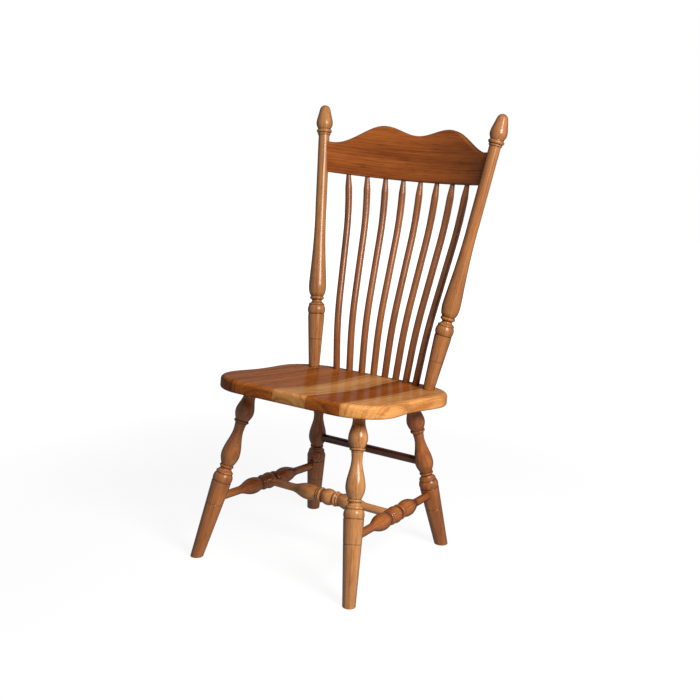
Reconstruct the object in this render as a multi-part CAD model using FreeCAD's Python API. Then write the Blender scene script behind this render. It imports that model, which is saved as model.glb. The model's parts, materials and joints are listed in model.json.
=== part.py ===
import FreeCAD, Part
import math
import os

# Spindle-back side chair in turned hardwood. Millimetres, +Z up. The front faces -Y, and +X is to the
# right of someone who faces the front. While the chair is modelled, Y is zero midway between the front
# and back feet. At the end it moves as a whole, so that its origin is on the floor under the middle of
# its bounding box.

V = FreeCAD.Vector

# Feet, and where the leg axes meet the underside of the seat
FRONT_FEET_SPREAD = 464.4
BACK_FEET_SPREAD = 417.6
FEET_DEPTH = 469.6
FRONT_LEG_TOP_SPREAD = 321.6
BACK_LEG_TOP_SPREAD = 283.2
FRONT_LEG_SET = 112.0
BACK_LEG_SET = 158.0

# Seat, in its own plane, which falls to the back
SEAT_HEIGHT = 445.2
SEAT_TILT = 5.7
SEAT_THICKNESS = 32.0
SEAT_FRONT = 202.5
SEAT_BACK = 239.0
SEAT_FRONT_WIDTH = 491.5
SEAT_WAIST_WIDTH = 475.0
SEAT_BACK_WIDTH = 491.0
SEAT_WAIST_SET = 5.0
SEAT_FRONT_CORNER = 106.0
SEAT_BACK_CORNER = 111.5
SEAT_TOP_ROUND = 10.0
SEAT_BOTTOM_ROUND = 6.0
DISH_DEPTH = 7.0
DISH_RADIUS = 180.0

# The seat is glued up from boards of one width, off centre as they came from the saw
BOARD_COUNT = 5
BOARD_WIDTH = 95.5
FIRST_JOINT = -125.0

# Joints: every round tenon goes straight into a bored socket
GLUE_GAP = 0.1
SOCKET_BOTTOM_GAP = 1.0
LEG_TENON_LENGTH = 23.0
POST_TENON_LENGTH = 24.0
SPINDLE_FOOT_TENON = 20.0
SPINDLE_TOP_TENON = 22.0
STRETCHER_TENON = 18.0
CROSS_TENON = 15.0

# Leg turning, from the seat down. All four legs are turned alike, and the back pair is cut shorter.
LEG_NECK_LENGTH = 18.5
LEG_NECK_RADIUS = 15.2
LEG_BALL_RISE = 41.0
LEG_BALL_RADIUS = 23.6
LEG_BALL_FALL = 22.5
LEG_BALL_FOOT_RADIUS = 16.6
LEG_COLLAR_WIDTH = 6.0
LEG_COLLAR_BULGE = 2.0
LEG_COLLAR_FOOT_RADIUS = 17.4
LEG_STEP_LENGTH = 0.8
LEG_STEP_RADIUS = 14.6
LEG_WAIST_RING_WIDTH = 3.2
LEG_WAIST_RING_BULGE = 0.7
LEG_WAIST_RING_FOOT_RADIUS = 14.0
LEG_WAIST_LENGTH = 15.5
LEG_WAIST_RADIUS = 12.9
LEG_VASE_RISE = 66.0
LEG_VASE_RADIUS = 23.6
LEG_VASE_FALL = 27.5
LEG_VASE_FOOT_RADIUS = 15.2
LEG_VASE_RING_WIDTH = 6.0
LEG_VASE_RING_BULGE = 2.3
LEG_VASE_RING_FOOT_RADIUS = 16.0
LEG_COVE_LENGTH = 2.5
LEG_COVE_RADIUS = 14.6
LEG_FLARE_LENGTH = 8.5
LEG_FLARE_RADIUS = 20.8
LEG_LIP_WIDTH = 5.0
LEG_LIP_BULGE = 1.0
LEG_LIP_FOOT_RADIUS = 20.4
LEG_BEAD_WIDTH = 22.0
LEG_BEAD_BULGE = 3.1
LEG_BEAD_FOOT_RADIUS = 23.4
LEG_SHOULDER_LENGTH = 1.4
LEG_TAPER_RADIUS = 24.6
LEG_FOOT_RADIUS = 15.6
LEG_SCRIBE_SET = 58.0
SCRIBE_DEPTH = 0.6
SCRIBE_WIDTH = 1.8

# Back posts: where the axes meet the top of the seat, how they lean, and the turning from the seat up
POST_SPREAD = 358.2
POST_SET = 174.4
POST_RAKE = 11.46
POST_SPLAY = 7.44
POST_FOOT_RADIUS = 14.5
POST_SWELL_LENGTH = 130.0
POST_SWELL_RADIUS = 21.8
POST_SCRIBE_SET = 74.5
POST_BAND_LENGTH = 12.0
POST_BAND_RADIUS = 22.1
POST_GROOVE_LENGTH = 0.9
POST_GROOVE_RADIUS = 20.6
POST_BEAD_WIDTH = 24.0
POST_BEAD_BULGE = 3.3
POST_BEAD_FOOT_RADIUS = 20.2
POST_LIP_WIDTH = 3.8
POST_LIP_BULGE = 1.0
POST_LIP_FOOT_RADIUS = 20.6
POST_COVE_LENGTH = 8.5
POST_COVE_RADIUS = 12.8
POST_FILLET_LENGTH = 2.5
POST_FILLET_RADIUS = 15.5
POST_RING_WIDTH = 8.5
POST_RING_BULGE = 2.75
POST_RING_FOOT_RADIUS = 17.0
POST_STEP_LENGTH = 0.7
POST_STEP_RADIUS = 16.3
POST_VASE_FOOT_LENGTH = 11.0
POST_VASE_FOOT_BULGE = 0.85
POST_VASE_FOOT_RADIUS = 21.8
POST_VASE_RISE = 17.5
POST_VASE_RADIUS = 23.5
POST_VASE_FALL = 195.0
POST_VASE_SKEW = 0.66
POST_SHAFT_RADIUS = 14.8
POST_SHAFT_LENGTH = 213.5
POST_COLLAR_WIDTH = 6.0
POST_COLLAR_BULGE = 2.0
POST_COLLAR_FOOT_RADIUS = 16.0
POST_NECK_RING_WIDTH = 10.0
POST_NECK_RING_BULGE = 3.8
POST_NECK_RING_FOOT_RADIUS = 17.4
POST_NECK_LENGTH = 1.5
POST_NECK_RADIUS = 17.2
ACORN_RISE = 14.5
ACORN_RADIUS = 22.1
ACORN_BELLY_LENGTH = 12.0
ACORN_BELLY_RADIUS = 20.6
ACORN_BELLY_BULGE = 0.37
ACORN_SIDE_LENGTH = 27.0
ACORN_SHOULDER_RADIUS = 13.9
ACORN_TIP_LENGTH = 10.5
ACORN_TIP_BULGE = 3.7
ACORN_TIP_RADIUS = 1.0

# Stretchers: the side pair and the cross stretcher share one turning, given from its middle out
SIDE_STRETCHER_FRONT_DROP = 290.8
SIDE_STRETCHER_BACK_DROP = 266.1
REAR_STRETCHER_DROP = 174.1
REAR_STRETCHER_RADIUS = 10.6
STRETCHER_BALL_RADIUS = 21.4
STRETCHER_BALL_HALF = 18.0
STRETCHER_COVE_RADIUS = 15.6
STRETCHER_COVE_WIDTH = 0.8
STRETCHER_BEAD_WIDTH = 9.0
STRETCHER_BEAD_BULGE = 3.7
STRETCHER_BEAD_FOOT_RADIUS = 17.0
STRETCHER_GROOVE_LENGTH = 0.6
STRETCHER_GROOVE_RADIUS = 16.6
STRETCHER_RING_WIDTH = 6.0
STRETCHER_RING_BULGE = 1.9
STRETCHER_BULB_RISE = 26.7
STRETCHER_BULB_RADIUS = 21.4
STRETCHER_BULB_FALL = 52.0
STRETCHER_END_RADIUS = 10.4
FALL_SKEW = 1.15

# Spindles, numbered from the left as seen from the front. The bends are set off their chord.
SPINDLE_COUNT = 8
SPINDLE_RADIUS = 9.2
SPINDLE_TIP_RADIUS = 6.0
SPINDLE_TAPER_LENGTH = 34.0
SPINDLE_FOOT_PITCH = 35.5
SPINDLE_FOOT_BACK = 222.5
SPINDLE_FOOT_ARC = 405.0
SPINDLE_TOP_PITCH = 53.0
LOW_BEND_SHARE = 0.2625
LOW_BEND_BOW = -11.2
LOW_BEND_RADIUS = 830.0
HIGH_BEND_SHARE = 0.804
HIGH_BEND_BOW = 12.0
HIGH_BEND_RADIUS = 620.0

# Crest rail: a bent board with a two-humped top, measured up the rake from its straight lower edge
CREST_ABOVE_SEAT = 527.0
CREST_BEND_RADIUS = 527.0
CREST_THICKNESS = 20.0
CREST_DIP_HEIGHT = 119.2
CREST_HUMP_HEIGHT = 139.2
CREST_HUMP_SET = 99.3
CREST_SHOULDER_HEIGHT = 80.5
CREST_SHOULDER_SET = 243.0
CREST_TOP_ROUND = 5.0
CREST_LOWER_BEVEL = 1.5
CREST_TENON_THICKNESS = 10.0
CREST_TENON_HEIGHT = 56.0
CREST_TENON_REACH = 6.0

# Hidden fasteners: pins through the crest rail's tenons, and screws up into the posts
PIN_RADIUS = 2.5
PIN_LENGTH = 24.0
PIN_SPACING = 30.0
SCREW_RADIUS = 2.2
SCREW_LENGTH = 26.0
SCREW_HEAD_RADIUS = 4.4
SCREW_HEAD_HEIGHT = 3.0
SCREW_HEAD_DEPTH = 1.5
FASTENER_GAP = 0.1

# How finely a wave is drawn, how near an edge lies to the plane it is picked by, and the size of tools
WAVE_POINTS = 9
PICK = 1.0
REACH = 1500.0


def unit(v):
    """The same direction with a length of one."""
    return v * (1 / v.Length)


def line(p, q):
    """Straight edge between two points."""
    return Part.LineSegment(p, q).toShape()


def arc(p, q, r):
    """Round edge through three points."""
    return Part.Arc(p, q, r).toShape()


def curve(points):
    """Smooth edge through a few points."""
    c = Part.BSplineCurve()
    c.interpolate(points)
    return c.toShape()


def ease(share):
    """Rises from 0 to 1 like half a wave, level at both ends."""
    return (1 - math.cos(math.pi * share)) / 2


def shares():
    """Even steps from 0 to 1."""
    return [i / (WAVE_POINTS - 1) for i in range(WAVE_POINTS)]


def wave_along_x(p, q):
    """Ogee edge between two points, level along X at both ends."""
    return curve([V(p.x + (q.x - p.x) * t, p.y + (q.y - p.y) * ease(t), 0) for t in shares()])


def wave_along_y(p, q):
    """Ogee edge between two points, level along Y at both ends."""
    return curve([V(p.x + (q.x - p.x) * ease(t), p.y + (q.y - p.y) * t, 0) for t in shares()])


def mirrored(shape):
    """The same shape on the other side of the chair."""
    return shape.mirror(V(0, 0, 0), V(1, 0, 0))


def on_axis(shape, start, toward):
    """Moves a shape that was made along +Z to start, pointing toward a direction."""
    placed = shape.copy()
    placed.Placement = FreeCAD.Placement(start, FreeCAD.Rotation(V(0, 0, 1), toward))
    return placed


def rod(start, toward, length, radius):
    """Plain round bar."""
    return on_axis(Part.makeCylinder(radius, length), start, toward)


def slab_between(half_width, low=-REACH, high=REACH):
    """Block that spans the chair's width either side of its middle, between two heights."""
    return Part.makeBox(2 * half_width, 2 * REACH, high - low, V(-half_width, -REACH, low))


# Forms of a turned outline. Each takes where it starts, its length and the radius where it ends, and
# gives the points of a smooth edge; a list of two points is a straight taper.

def straight(start, length, radius):
    return [start, V(radius, 0, start.z + length)]


def ogee(start, length, radius, skew=1.0):
    return [V(start.x + (radius - start.x) * ease(t ** skew), 0, start.z + length * t) for t in shares()]


def falling(start, length, radius):
    return [V(radius + (start.x - radius) * math.cos(t * math.pi / 2), 0, start.z + length * t)
            for t in shares()]


def rising(start, length, radius):
    return [V(start.x + (radius - start.x) * math.sin(t * math.pi / 2), 0, start.z + length * t)
            for t in shares()]


def round_over(start, length, radius, bulge):
    middle = V((start.x + radius) / 2 + bulge, 0, start.z + length / 2)
    return [start, middle, V(radius, 0, start.z + length)]


def outline(start, forms):
    """Joins forms end to end from a start point, and gives their edges and the last point."""
    edges = []
    for form, *sizes in forms:
        points = form(start, *sizes)
        if form is straight:
            edges.append(line(*points))
        elif form is round_over:
            edges.append(arc(*points))
        else:
            edges.append(curve(points))
        start = points[-1]
    return edges, start


def turning(first_distance, first_radius, forms):
    """Turned solid along +Z, whose outline starts at a distance and radius and follows the forms."""
    start = V(first_radius, 0, first_distance)
    edges, end = outline(start, forms)
    foot = V(0, 0, start.z)
    tip = V(0, 0, end.z)
    edges = [line(foot, start)] + edges + [line(end, tip), line(tip, foot)]
    return Part.Face(Part.Wire(edges)).revolve(V(0, 0, 0), V(0, 0, 1), 360)


def scribed_taper(length, start_radius, end_radius, scribe_set):
    """Straight taper with a narrow V groove cut round it."""
    def radius_at(distance):
        return start_radius + (end_radius - start_radius) * distance / length

    half = SCRIBE_WIDTH / 2
    return [
        (straight, scribe_set - half, radius_at(scribe_set - half)),
        (straight, half, radius_at(scribe_set) - SCRIBE_DEPTH),
        (straight, half, radius_at(scribe_set + half)),
        (straight, length - scribe_set - half, end_radius),
    ]


def seat_point(x, y, below=0.0):
    """Place of a point of the seat's own plane, at a depth below its top."""
    tilt = math.radians(SEAT_TILT)
    level = y * math.cos(tilt) - below * math.sin(tilt)
    return V(x, level, SEAT_HEIGHT - y * math.sin(tilt) - below * math.cos(tilt))


FRONT_TOP = seat_point(FRONT_LEG_TOP_SPREAD / 2, -FRONT_LEG_SET, SEAT_THICKNESS)
FRONT_FOOT = V(FRONT_FEET_SPREAD / 2, -FEET_DEPTH / 2, 0)
BACK_TOP = seat_point(BACK_LEG_TOP_SPREAD / 2, BACK_LEG_SET, SEAT_THICKNESS)
BACK_FOOT = V(BACK_FEET_SPREAD / 2, FEET_DEPTH / 2, 0)

LEG_FORMS = [
    (straight, LEG_TENON_LENGTH + LEG_NECK_LENGTH, LEG_NECK_RADIUS),
    (ogee, LEG_BALL_RISE, LEG_BALL_RADIUS),
    (falling, LEG_BALL_FALL, LEG_BALL_FOOT_RADIUS),
    (round_over, LEG_COLLAR_WIDTH, LEG_COLLAR_FOOT_RADIUS, LEG_COLLAR_BULGE),
    (straight, LEG_STEP_LENGTH, LEG_STEP_RADIUS),
    (round_over, LEG_WAIST_RING_WIDTH, LEG_WAIST_RING_FOOT_RADIUS, LEG_WAIST_RING_BULGE),
    (ogee, LEG_WAIST_LENGTH, LEG_WAIST_RADIUS),
    (ogee, LEG_VASE_RISE, LEG_VASE_RADIUS),
    (falling, LEG_VASE_FALL, LEG_VASE_FOOT_RADIUS),
    (round_over, LEG_VASE_RING_WIDTH, LEG_VASE_RING_FOOT_RADIUS, LEG_VASE_RING_BULGE),
    (ogee, LEG_COVE_LENGTH, LEG_COVE_RADIUS),
    (falling, LEG_FLARE_LENGTH, LEG_FLARE_RADIUS),
    (round_over, LEG_LIP_WIDTH, LEG_LIP_FOOT_RADIUS, LEG_LIP_BULGE),
    (round_over, LEG_BEAD_WIDTH, LEG_BEAD_FOOT_RADIUS, LEG_BEAD_BULGE),
    (rising, LEG_SHOULDER_LENGTH, LEG_TAPER_RADIUS),
]
LEG_TAPER_START = sum(form[1] for form in LEG_FORMS) - LEG_TENON_LENGTH
FRONT_LEG_LENGTH = (FRONT_FOOT - FRONT_TOP).Length
LEG_TAPER_SLOPE = (LEG_TAPER_RADIUS - LEG_FOOT_RADIUS) / (FRONT_LEG_LENGTH - LEG_TAPER_START)


def leg_radius(distance):
    """Radius of a leg's lower taper at a distance below the seat."""
    return LEG_TAPER_RADIUS - LEG_TAPER_SLOPE * (distance - LEG_TAPER_START)


def leg(top, foot):
    """Leg on the +X side, turned past the floor and cut level with it."""
    axis = foot - top
    end = axis.Length + LEG_FOOT_RADIUS
    taper = scribed_taper(end - LEG_TAPER_START, LEG_TAPER_RADIUS, leg_radius(end), LEG_SCRIBE_SET)
    solid = on_axis(turning(-LEG_TENON_LENGTH, LEG_NECK_RADIUS, LEG_FORMS + taper), top, axis)
    return solid.cut(slab_between(REACH, -REACH, 0))


def stretcher_half(length):
    """Half of a turned stretcher, from its middle along +Z."""
    forms = [
        (falling, STRETCHER_BALL_HALF, STRETCHER_COVE_RADIUS),
        (straight, STRETCHER_COVE_WIDTH, STRETCHER_COVE_RADIUS),
        (round_over, STRETCHER_BEAD_WIDTH, STRETCHER_BEAD_FOOT_RADIUS, STRETCHER_BEAD_BULGE),
        (straight, STRETCHER_GROOVE_LENGTH, STRETCHER_GROOVE_RADIUS),
        (round_over, STRETCHER_RING_WIDTH, STRETCHER_COVE_RADIUS, STRETCHER_RING_BULGE),
        (straight, STRETCHER_COVE_WIDTH, STRETCHER_COVE_RADIUS),
        (rising, STRETCHER_BULB_RISE, STRETCHER_BULB_RADIUS),
        (ogee, STRETCHER_BULB_FALL, STRETCHER_END_RADIUS, FALL_SKEW),
    ]
    turned = sum(form[1] for form in forms)
    forms.append((straight, length - turned, STRETCHER_END_RADIUS))
    return turning(0, STRETCHER_BALL_RADIUS, forms)


def turned_stretcher(start, end, start_short, end_short):
    """Turned stretcher between two axes, with its pattern in the middle. It stops short of each axis."""
    axis = end - start
    half = axis.Length / 2
    middle = start + axis * 0.5
    near = on_axis(stretcher_half(half - start_short), middle, axis * -1)
    far = on_axis(stretcher_half(half - end_short), middle, axis)
    return near.fuse(far).removeSplitter()


def socket(mouth, inward, depth, radius):
    """Tool for a blind socket: from as far outside its mouth as it is deep, to just past the tenon."""
    way = unit(inward)
    return rod(mouth - way * depth, way, 2 * depth + SOCKET_BOTTOM_GAP, radius + GLUE_GAP)


def undercarriage():
    """Legs and stretchers, by name, with the tools that bore the seat for the legs."""
    front_leg = leg(FRONT_TOP, FRONT_FOOT)
    back_leg = leg(BACK_TOP, BACK_FOOT)
    front_down = unit(FRONT_FOOT - FRONT_TOP)
    back_down = unit(BACK_FOOT - BACK_TOP)

    side_front = FRONT_TOP + front_down * SIDE_STRETCHER_FRONT_DROP
    side_back = BACK_TOP + back_down * SIDE_STRETCHER_BACK_DROP
    side_way = unit(side_back - side_front)
    front_skin = leg_radius(SIDE_STRETCHER_FRONT_DROP)
    back_skin = leg_radius(SIDE_STRETCHER_BACK_DROP)
    side = turned_stretcher(side_front, side_back, front_skin - STRETCHER_TENON, back_skin - STRETCHER_TENON)
    front_leg = front_leg.cut(
        socket(side_front + side_way * front_skin, side_way * -1, STRETCHER_TENON, STRETCHER_END_RADIUS))
    back_leg = back_leg.cut(
        socket(side_back - side_way * back_skin, side_way, STRETCHER_TENON, STRETCHER_END_RADIUS))

    cross_end = (side_front + side_back) * 0.5
    cross_start = V(-cross_end.x, cross_end.y, cross_end.z)
    cross_short = STRETCHER_BALL_RADIUS - CROSS_TENON
    cross = turned_stretcher(cross_start, cross_end, cross_short, cross_short)
    cross_mouth = cross_end - V(STRETCHER_BALL_RADIUS, 0, 0)
    side = side.cut(socket(cross_mouth, V(1, 0, 0), CROSS_TENON, STRETCHER_END_RADIUS))

    rear_mouth = BACK_TOP + back_down * REAR_STRETCHER_DROP - V(LEG_VASE_RADIUS, 0, 0)
    rear_half = rear_mouth.x + STRETCHER_TENON
    rear = rod(V(-rear_half, rear_mouth.y, rear_mouth.z), V(1, 0, 0), 2 * rear_half, REAR_STRETCHER_RADIUS)
    back_leg = back_leg.cut(socket(rear_mouth, V(1, 0, 0), STRETCHER_TENON, REAR_STRETCHER_RADIUS))

    pieces = {
        "leg_front_right": front_leg,
        "leg_front_left": mirrored(front_leg),
        "leg_back_right": back_leg,
        "leg_back_left": mirrored(back_leg),
        "side_stretcher_right": side,
        "side_stretcher_left": mirrored(side),
        "cross_stretcher": cross,
        "rear_stretcher": rear,
    }
    tools = [
        socket(FRONT_TOP, front_down * -1, LEG_TENON_LENGTH, LEG_NECK_RADIUS),
        socket(BACK_TOP, back_down * -1, LEG_TENON_LENGTH, LEG_NECK_RADIUS),
    ]
    return pieces, tools


POST_FOOT = seat_point(POST_SPREAD / 2, POST_SET)
POST_WAY = unit(V(math.tan(math.radians(POST_SPLAY)), math.tan(math.radians(POST_RAKE)), 1))

# The back's own directions: up the rake, and square to it toward the rear
BACK_UP = V(0, math.sin(math.radians(POST_RAKE)), math.cos(math.radians(POST_RAKE)))
BACK_REAR = V(0, BACK_UP.z, -BACK_UP.y)


def post():
    """Back post on the +X side with its acorn, before it is mortised."""
    swell = scribed_taper(POST_SWELL_LENGTH, POST_FOOT_RADIUS, POST_SWELL_RADIUS, POST_SCRIBE_SET)
    forms = [(straight, POST_TENON_LENGTH, POST_FOOT_RADIUS)] + swell + [
        (straight, POST_BAND_LENGTH, POST_BAND_RADIUS),
        (straight, POST_GROOVE_LENGTH, POST_GROOVE_RADIUS),
        (round_over, POST_BEAD_WIDTH, POST_BEAD_FOOT_RADIUS, POST_BEAD_BULGE),
        (round_over, POST_LIP_WIDTH, POST_LIP_FOOT_RADIUS, POST_LIP_BULGE),
        (rising, POST_COVE_LENGTH, POST_COVE_RADIUS),
        (straight, POST_FILLET_LENGTH, POST_FILLET_RADIUS),
        (round_over, POST_RING_WIDTH, POST_RING_FOOT_RADIUS, POST_RING_BULGE),
        (straight, POST_STEP_LENGTH, POST_STEP_RADIUS),
        (round_over, POST_VASE_FOOT_LENGTH, POST_VASE_FOOT_RADIUS, POST_VASE_FOOT_BULGE),
        (rising, POST_VASE_RISE, POST_VASE_RADIUS),
        (ogee, POST_VASE_FALL, POST_SHAFT_RADIUS, POST_VASE_SKEW),
        (straight, POST_SHAFT_LENGTH, POST_SHAFT_RADIUS),
        (round_over, POST_COLLAR_WIDTH, POST_COLLAR_FOOT_RADIUS, POST_COLLAR_BULGE),
        (round_over, POST_NECK_RING_WIDTH, POST_NECK_RING_FOOT_RADIUS, POST_NECK_RING_BULGE),
        (straight, POST_NECK_LENGTH, POST_NECK_RADIUS),
        (rising, ACORN_RISE, ACORN_RADIUS),
        (round_over, ACORN_BELLY_LENGTH, ACORN_BELLY_RADIUS, ACORN_BELLY_BULGE),
        (straight, ACORN_SIDE_LENGTH, ACORN_SHOULDER_RADIUS),
        (round_over, ACORN_TIP_LENGTH, ACORN_TIP_RADIUS, ACORN_TIP_BULGE),
    ]
    return on_axis(turning(-POST_TENON_LENGTH, POST_FOOT_RADIUS, forms), POST_FOOT, POST_WAY)


def post_at(height):
    """Point of the post's axis at a height up the rake, measured from its foot."""
    return POST_FOOT + POST_WAY * (height / POST_WAY.dot(BACK_UP))


def bend_x(distance):
    """Distance across the chair of a point at a distance round the crest rail's bend."""
    return CREST_BEND_RADIUS * math.sin(distance / CREST_BEND_RADIUS)


def bend_depth(x):
    """How far forward of its middle the bend lies, at a distance across the chair."""
    return CREST_BEND_RADIUS - math.sqrt(CREST_BEND_RADIUS ** 2 - x ** 2)


# The crest rail's middle surface meets both post axes at half the height of its ends
CREST_END = post_at(CREST_ABOVE_SEAT + CREST_SHOULDER_HEIGHT / 2)
CREST_MIDDLE = (BACK_UP * (POST_FOOT.dot(BACK_UP) + CREST_ABOVE_SEAT)
                + BACK_REAR * (CREST_END.dot(BACK_REAR) + bend_depth(CREST_END.x)))


def crest_point(distance):
    """Point of the crest rail's lower edge, at a distance round the bend."""
    x = bend_x(distance)
    return CREST_MIDDLE + V(x, 0, 0) - BACK_REAR * bend_depth(x)


def to_back(shape):
    """Moves a shape drawn with X across, Y up the rake and Z to the front onto the chair's back, with
    its origin at the middle of the crest rail's lower edge."""
    placed = shape.copy()
    placed.Placement = FreeCAD.Placement(CREST_MIDDLE, FreeCAD.Rotation(V(1, 0, 0), BACK_UP, BACK_REAR * -1))
    return placed


def bent_ring(thickness, low, high):
    """Upright ring wall that follows the bend all round, in the back's frame, between two heights."""
    centre = V(0, low, CREST_BEND_RADIUS)
    outer = Part.makeCylinder(CREST_BEND_RADIUS + thickness / 2, high - low, centre, V(0, 1, 0))
    inner = Part.makeCylinder(CREST_BEND_RADIUS - thickness / 2, high - low, centre, V(0, 1, 0))
    return outer.cut(inner)


def rear_of(ring):
    """The stretch of a ring wall that the chair's back is made from."""
    corner = V(-REACH, -REACH, CREST_BEND_RADIUS / 2 - REACH)
    return ring.common(Part.makeBox(2 * REACH, 2 * REACH, REACH, corner))


def crest_front_view():
    """Block with the crest rail's outline as seen from the front, in the back's frame."""
    dip = V(0, CREST_DIP_HEIGHT, 0)
    hump = V(bend_x(CREST_HUMP_SET), CREST_HUMP_HEIGHT, 0)
    shoulder = V(bend_x(CREST_SHOULDER_SET), CREST_SHOULDER_HEIGHT, 0)
    end = V(shoulder.x + 2 * CREST_THICKNESS, CREST_SHOULDER_HEIGHT, 0)
    corner = V(end.x, 0, 0)
    right = [wave_along_x(dip, hump), wave_along_x(hump, shoulder), line(shoulder, end), line(end, corner)]
    left = [mirrored(edge) for edge in right]
    wire = Part.Wire(Part.__sortEdges__(right + left + [line(V(-corner.x, 0, 0), corner)]))
    block = Part.Face(wire).extrude(V(0, 0, 2 * REACH))
    return block.translated(V(0, 0, -REACH))


def crest_tenons(gap):
    """Both tenons of the crest rail as one slab that ends inside the posts. With a gap it is the tool
    for their mortises."""
    low = (CREST_SHOULDER_HEIGHT - CREST_TENON_HEIGHT) / 2 - gap
    high = (CREST_SHOULDER_HEIGHT + CREST_TENON_HEIGHT) / 2 + gap
    slab = to_back(rear_of(bent_ring(CREST_TENON_THICKNESS + 2 * gap, low, high)))
    return slab.common(slab_between(CREST_END.x + CREST_TENON_REACH + gap))


def crest_rail(posts):
    """Bent two-humped board, rounded, coped to the posts and tenoned into them."""
    ring = bent_ring(CREST_THICKNESS, 0, CREST_HUMP_HEIGHT + CREST_THICKNESS)
    ring = ring.makeChamfer(CREST_LOWER_BEVEL, [e for e in ring.Edges if e.BoundBox.YMax < PICK])
    board = rear_of(ring).common(crest_front_view())
    top = [e for e in board.Edges if e.BoundBox.YMin > CREST_SHOULDER_HEIGHT - PICK
           and e.BoundBox.XLength > CREST_THICKNESS]
    board = to_back(board.makeFillet(CREST_TOP_ROUND, top))
    board = board.common(slab_between(CREST_END.x))
    for each in posts:
        board = board.cut(each)
    board = max(board.Solids, key=lambda solid: solid.Volume)
    return board.fuse(crest_tenons(0)).removeSplitter()


def crest_pins():
    """Pins through the back of the post on the +X side and the crest rail's tenon, and their drills."""
    square = unit(BACK_REAR - POST_WAY * POST_WAY.dot(BACK_REAR))
    pins = []
    drills = []
    for side in (-1, 1):
        height = CREST_ABOVE_SEAT + (CREST_SHOULDER_HEIGHT + side * PIN_SPACING) / 2
        mouth = post_at(height) + square * POST_SHAFT_RADIUS
        pins.append(rod(mouth, square * -1, PIN_LENGTH, PIN_RADIUS))
        drill_length = 2 * PIN_LENGTH + SOCKET_BOTTOM_GAP
        drills.append(rod(mouth + square * PIN_LENGTH, square * -1, drill_length, PIN_RADIUS + FASTENER_GAP))
    return pins, drills


def post_screw():
    """Screw up through the seat into the post on the +X side, and the tool that makes room for it."""
    lean = SEAT_THICKNESS / POST_WAY.dot(seat_point(0, 0) - seat_point(0, 0, 1))
    start = POST_FOOT - POST_WAY * (lean - SCREW_HEAD_DEPTH)
    shank_length = SCREW_LENGTH - SCREW_HEAD_HEIGHT
    head = Part.makeCone(SCREW_HEAD_RADIUS, SCREW_RADIUS, SCREW_HEAD_HEIGHT)
    shank = Part.makeCylinder(SCREW_RADIUS, shank_length, V(0, 0, SCREW_HEAD_HEIGHT))
    wide_head = SCREW_HEAD_RADIUS + FASTENER_GAP
    wide_shank = SCREW_RADIUS + FASTENER_GAP
    well = Part.makeCylinder(wide_head, SEAT_THICKNESS, V(0, 0, -SEAT_THICKNESS))
    sink = Part.makeCone(wide_head, wide_shank, SCREW_HEAD_HEIGHT)
    hole = Part.makeCylinder(wide_shank, SCREW_LENGTH + SOCKET_BOTTOM_GAP)
    screw = on_axis(head.fuse(shank).removeSplitter(), start, POST_WAY)
    return screw, on_axis(well.fuse([sink, hole]), start, POST_WAY)


def spindle_corners(index):
    """Foot, two bend corners and top of a spindle's centre line."""
    step = index - (SPINDLE_COUNT - 1) / 2
    x = step * SPINDLE_FOOT_PITCH
    foot = seat_point(x, SPINDLE_FOOT_BACK - SPINDLE_FOOT_ARC + math.sqrt(SPINDLE_FOOT_ARC ** 2 - x ** 2))
    top = crest_point(step * SPINDLE_TOP_PITCH)
    chord = top - foot
    way = unit(chord)
    rear = unit(V(0, 1, 0) - way * way.y)
    low = foot + chord * LOW_BEND_SHARE + rear * LOW_BEND_BOW
    high = foot + chord * HIGH_BEND_SHARE + rear * HIGH_BEND_BOW
    return foot, low, high, top


def bend(before, corner, after, radius):
    """Start, middle and end of the arc that rounds a corner."""
    into = unit(corner - before)
    out = unit(after - corner)
    half_turn = into.getAngle(out) / 2
    run = radius * math.tan(half_turn)
    middle = corner + unit(out - into) * (radius / math.cos(half_turn) - radius)
    return corner - into * run, middle, corner + out * run


def spindle(index):
    """Spindle with its two bends, its tapered top and both tenons, and the tools that bore for it."""
    foot, low, high, top = spindle_corners(index)
    foot_way = unit(low - foot)
    top_way = unit(top - high)
    start = foot - foot_way * SPINDLE_FOOT_TENON
    taper = top - top_way * SPINDLE_TAPER_LENGTH
    low_bend = bend(foot, low, high, LOW_BEND_RADIUS)
    high_bend = bend(low, high, top, HIGH_BEND_RADIUS)
    path = Part.Wire([
        line(start, low_bend[0]),
        arc(*low_bend),
        line(low_bend[-1], high_bend[0]),
        arc(*high_bend),
        line(high_bend[-1], taper),
    ])
    section = Part.Wire([Part.Circle(start, foot_way, SPINDLE_RADIUS).toShape()])
    body = path.makePipeShell([section], True, False)
    cone = Part.makeCone(SPINDLE_RADIUS, SPINDLE_TIP_RADIUS, SPINDLE_TAPER_LENGTH)
    tenon = rod(top, top_way, SPINDLE_TOP_TENON, SPINDLE_TIP_RADIUS)
    solid = body.fuse([on_axis(cone, taper, top_way), tenon]).removeSplitter()
    seat_tool = socket(foot, foot_way * -1, SPINDLE_FOOT_TENON, SPINDLE_RADIUS)
    crest_tool = socket(top, top_way, SPINDLE_TOP_TENON, SPINDLE_TIP_RADIUS)
    return solid, seat_tool, crest_tool


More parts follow.
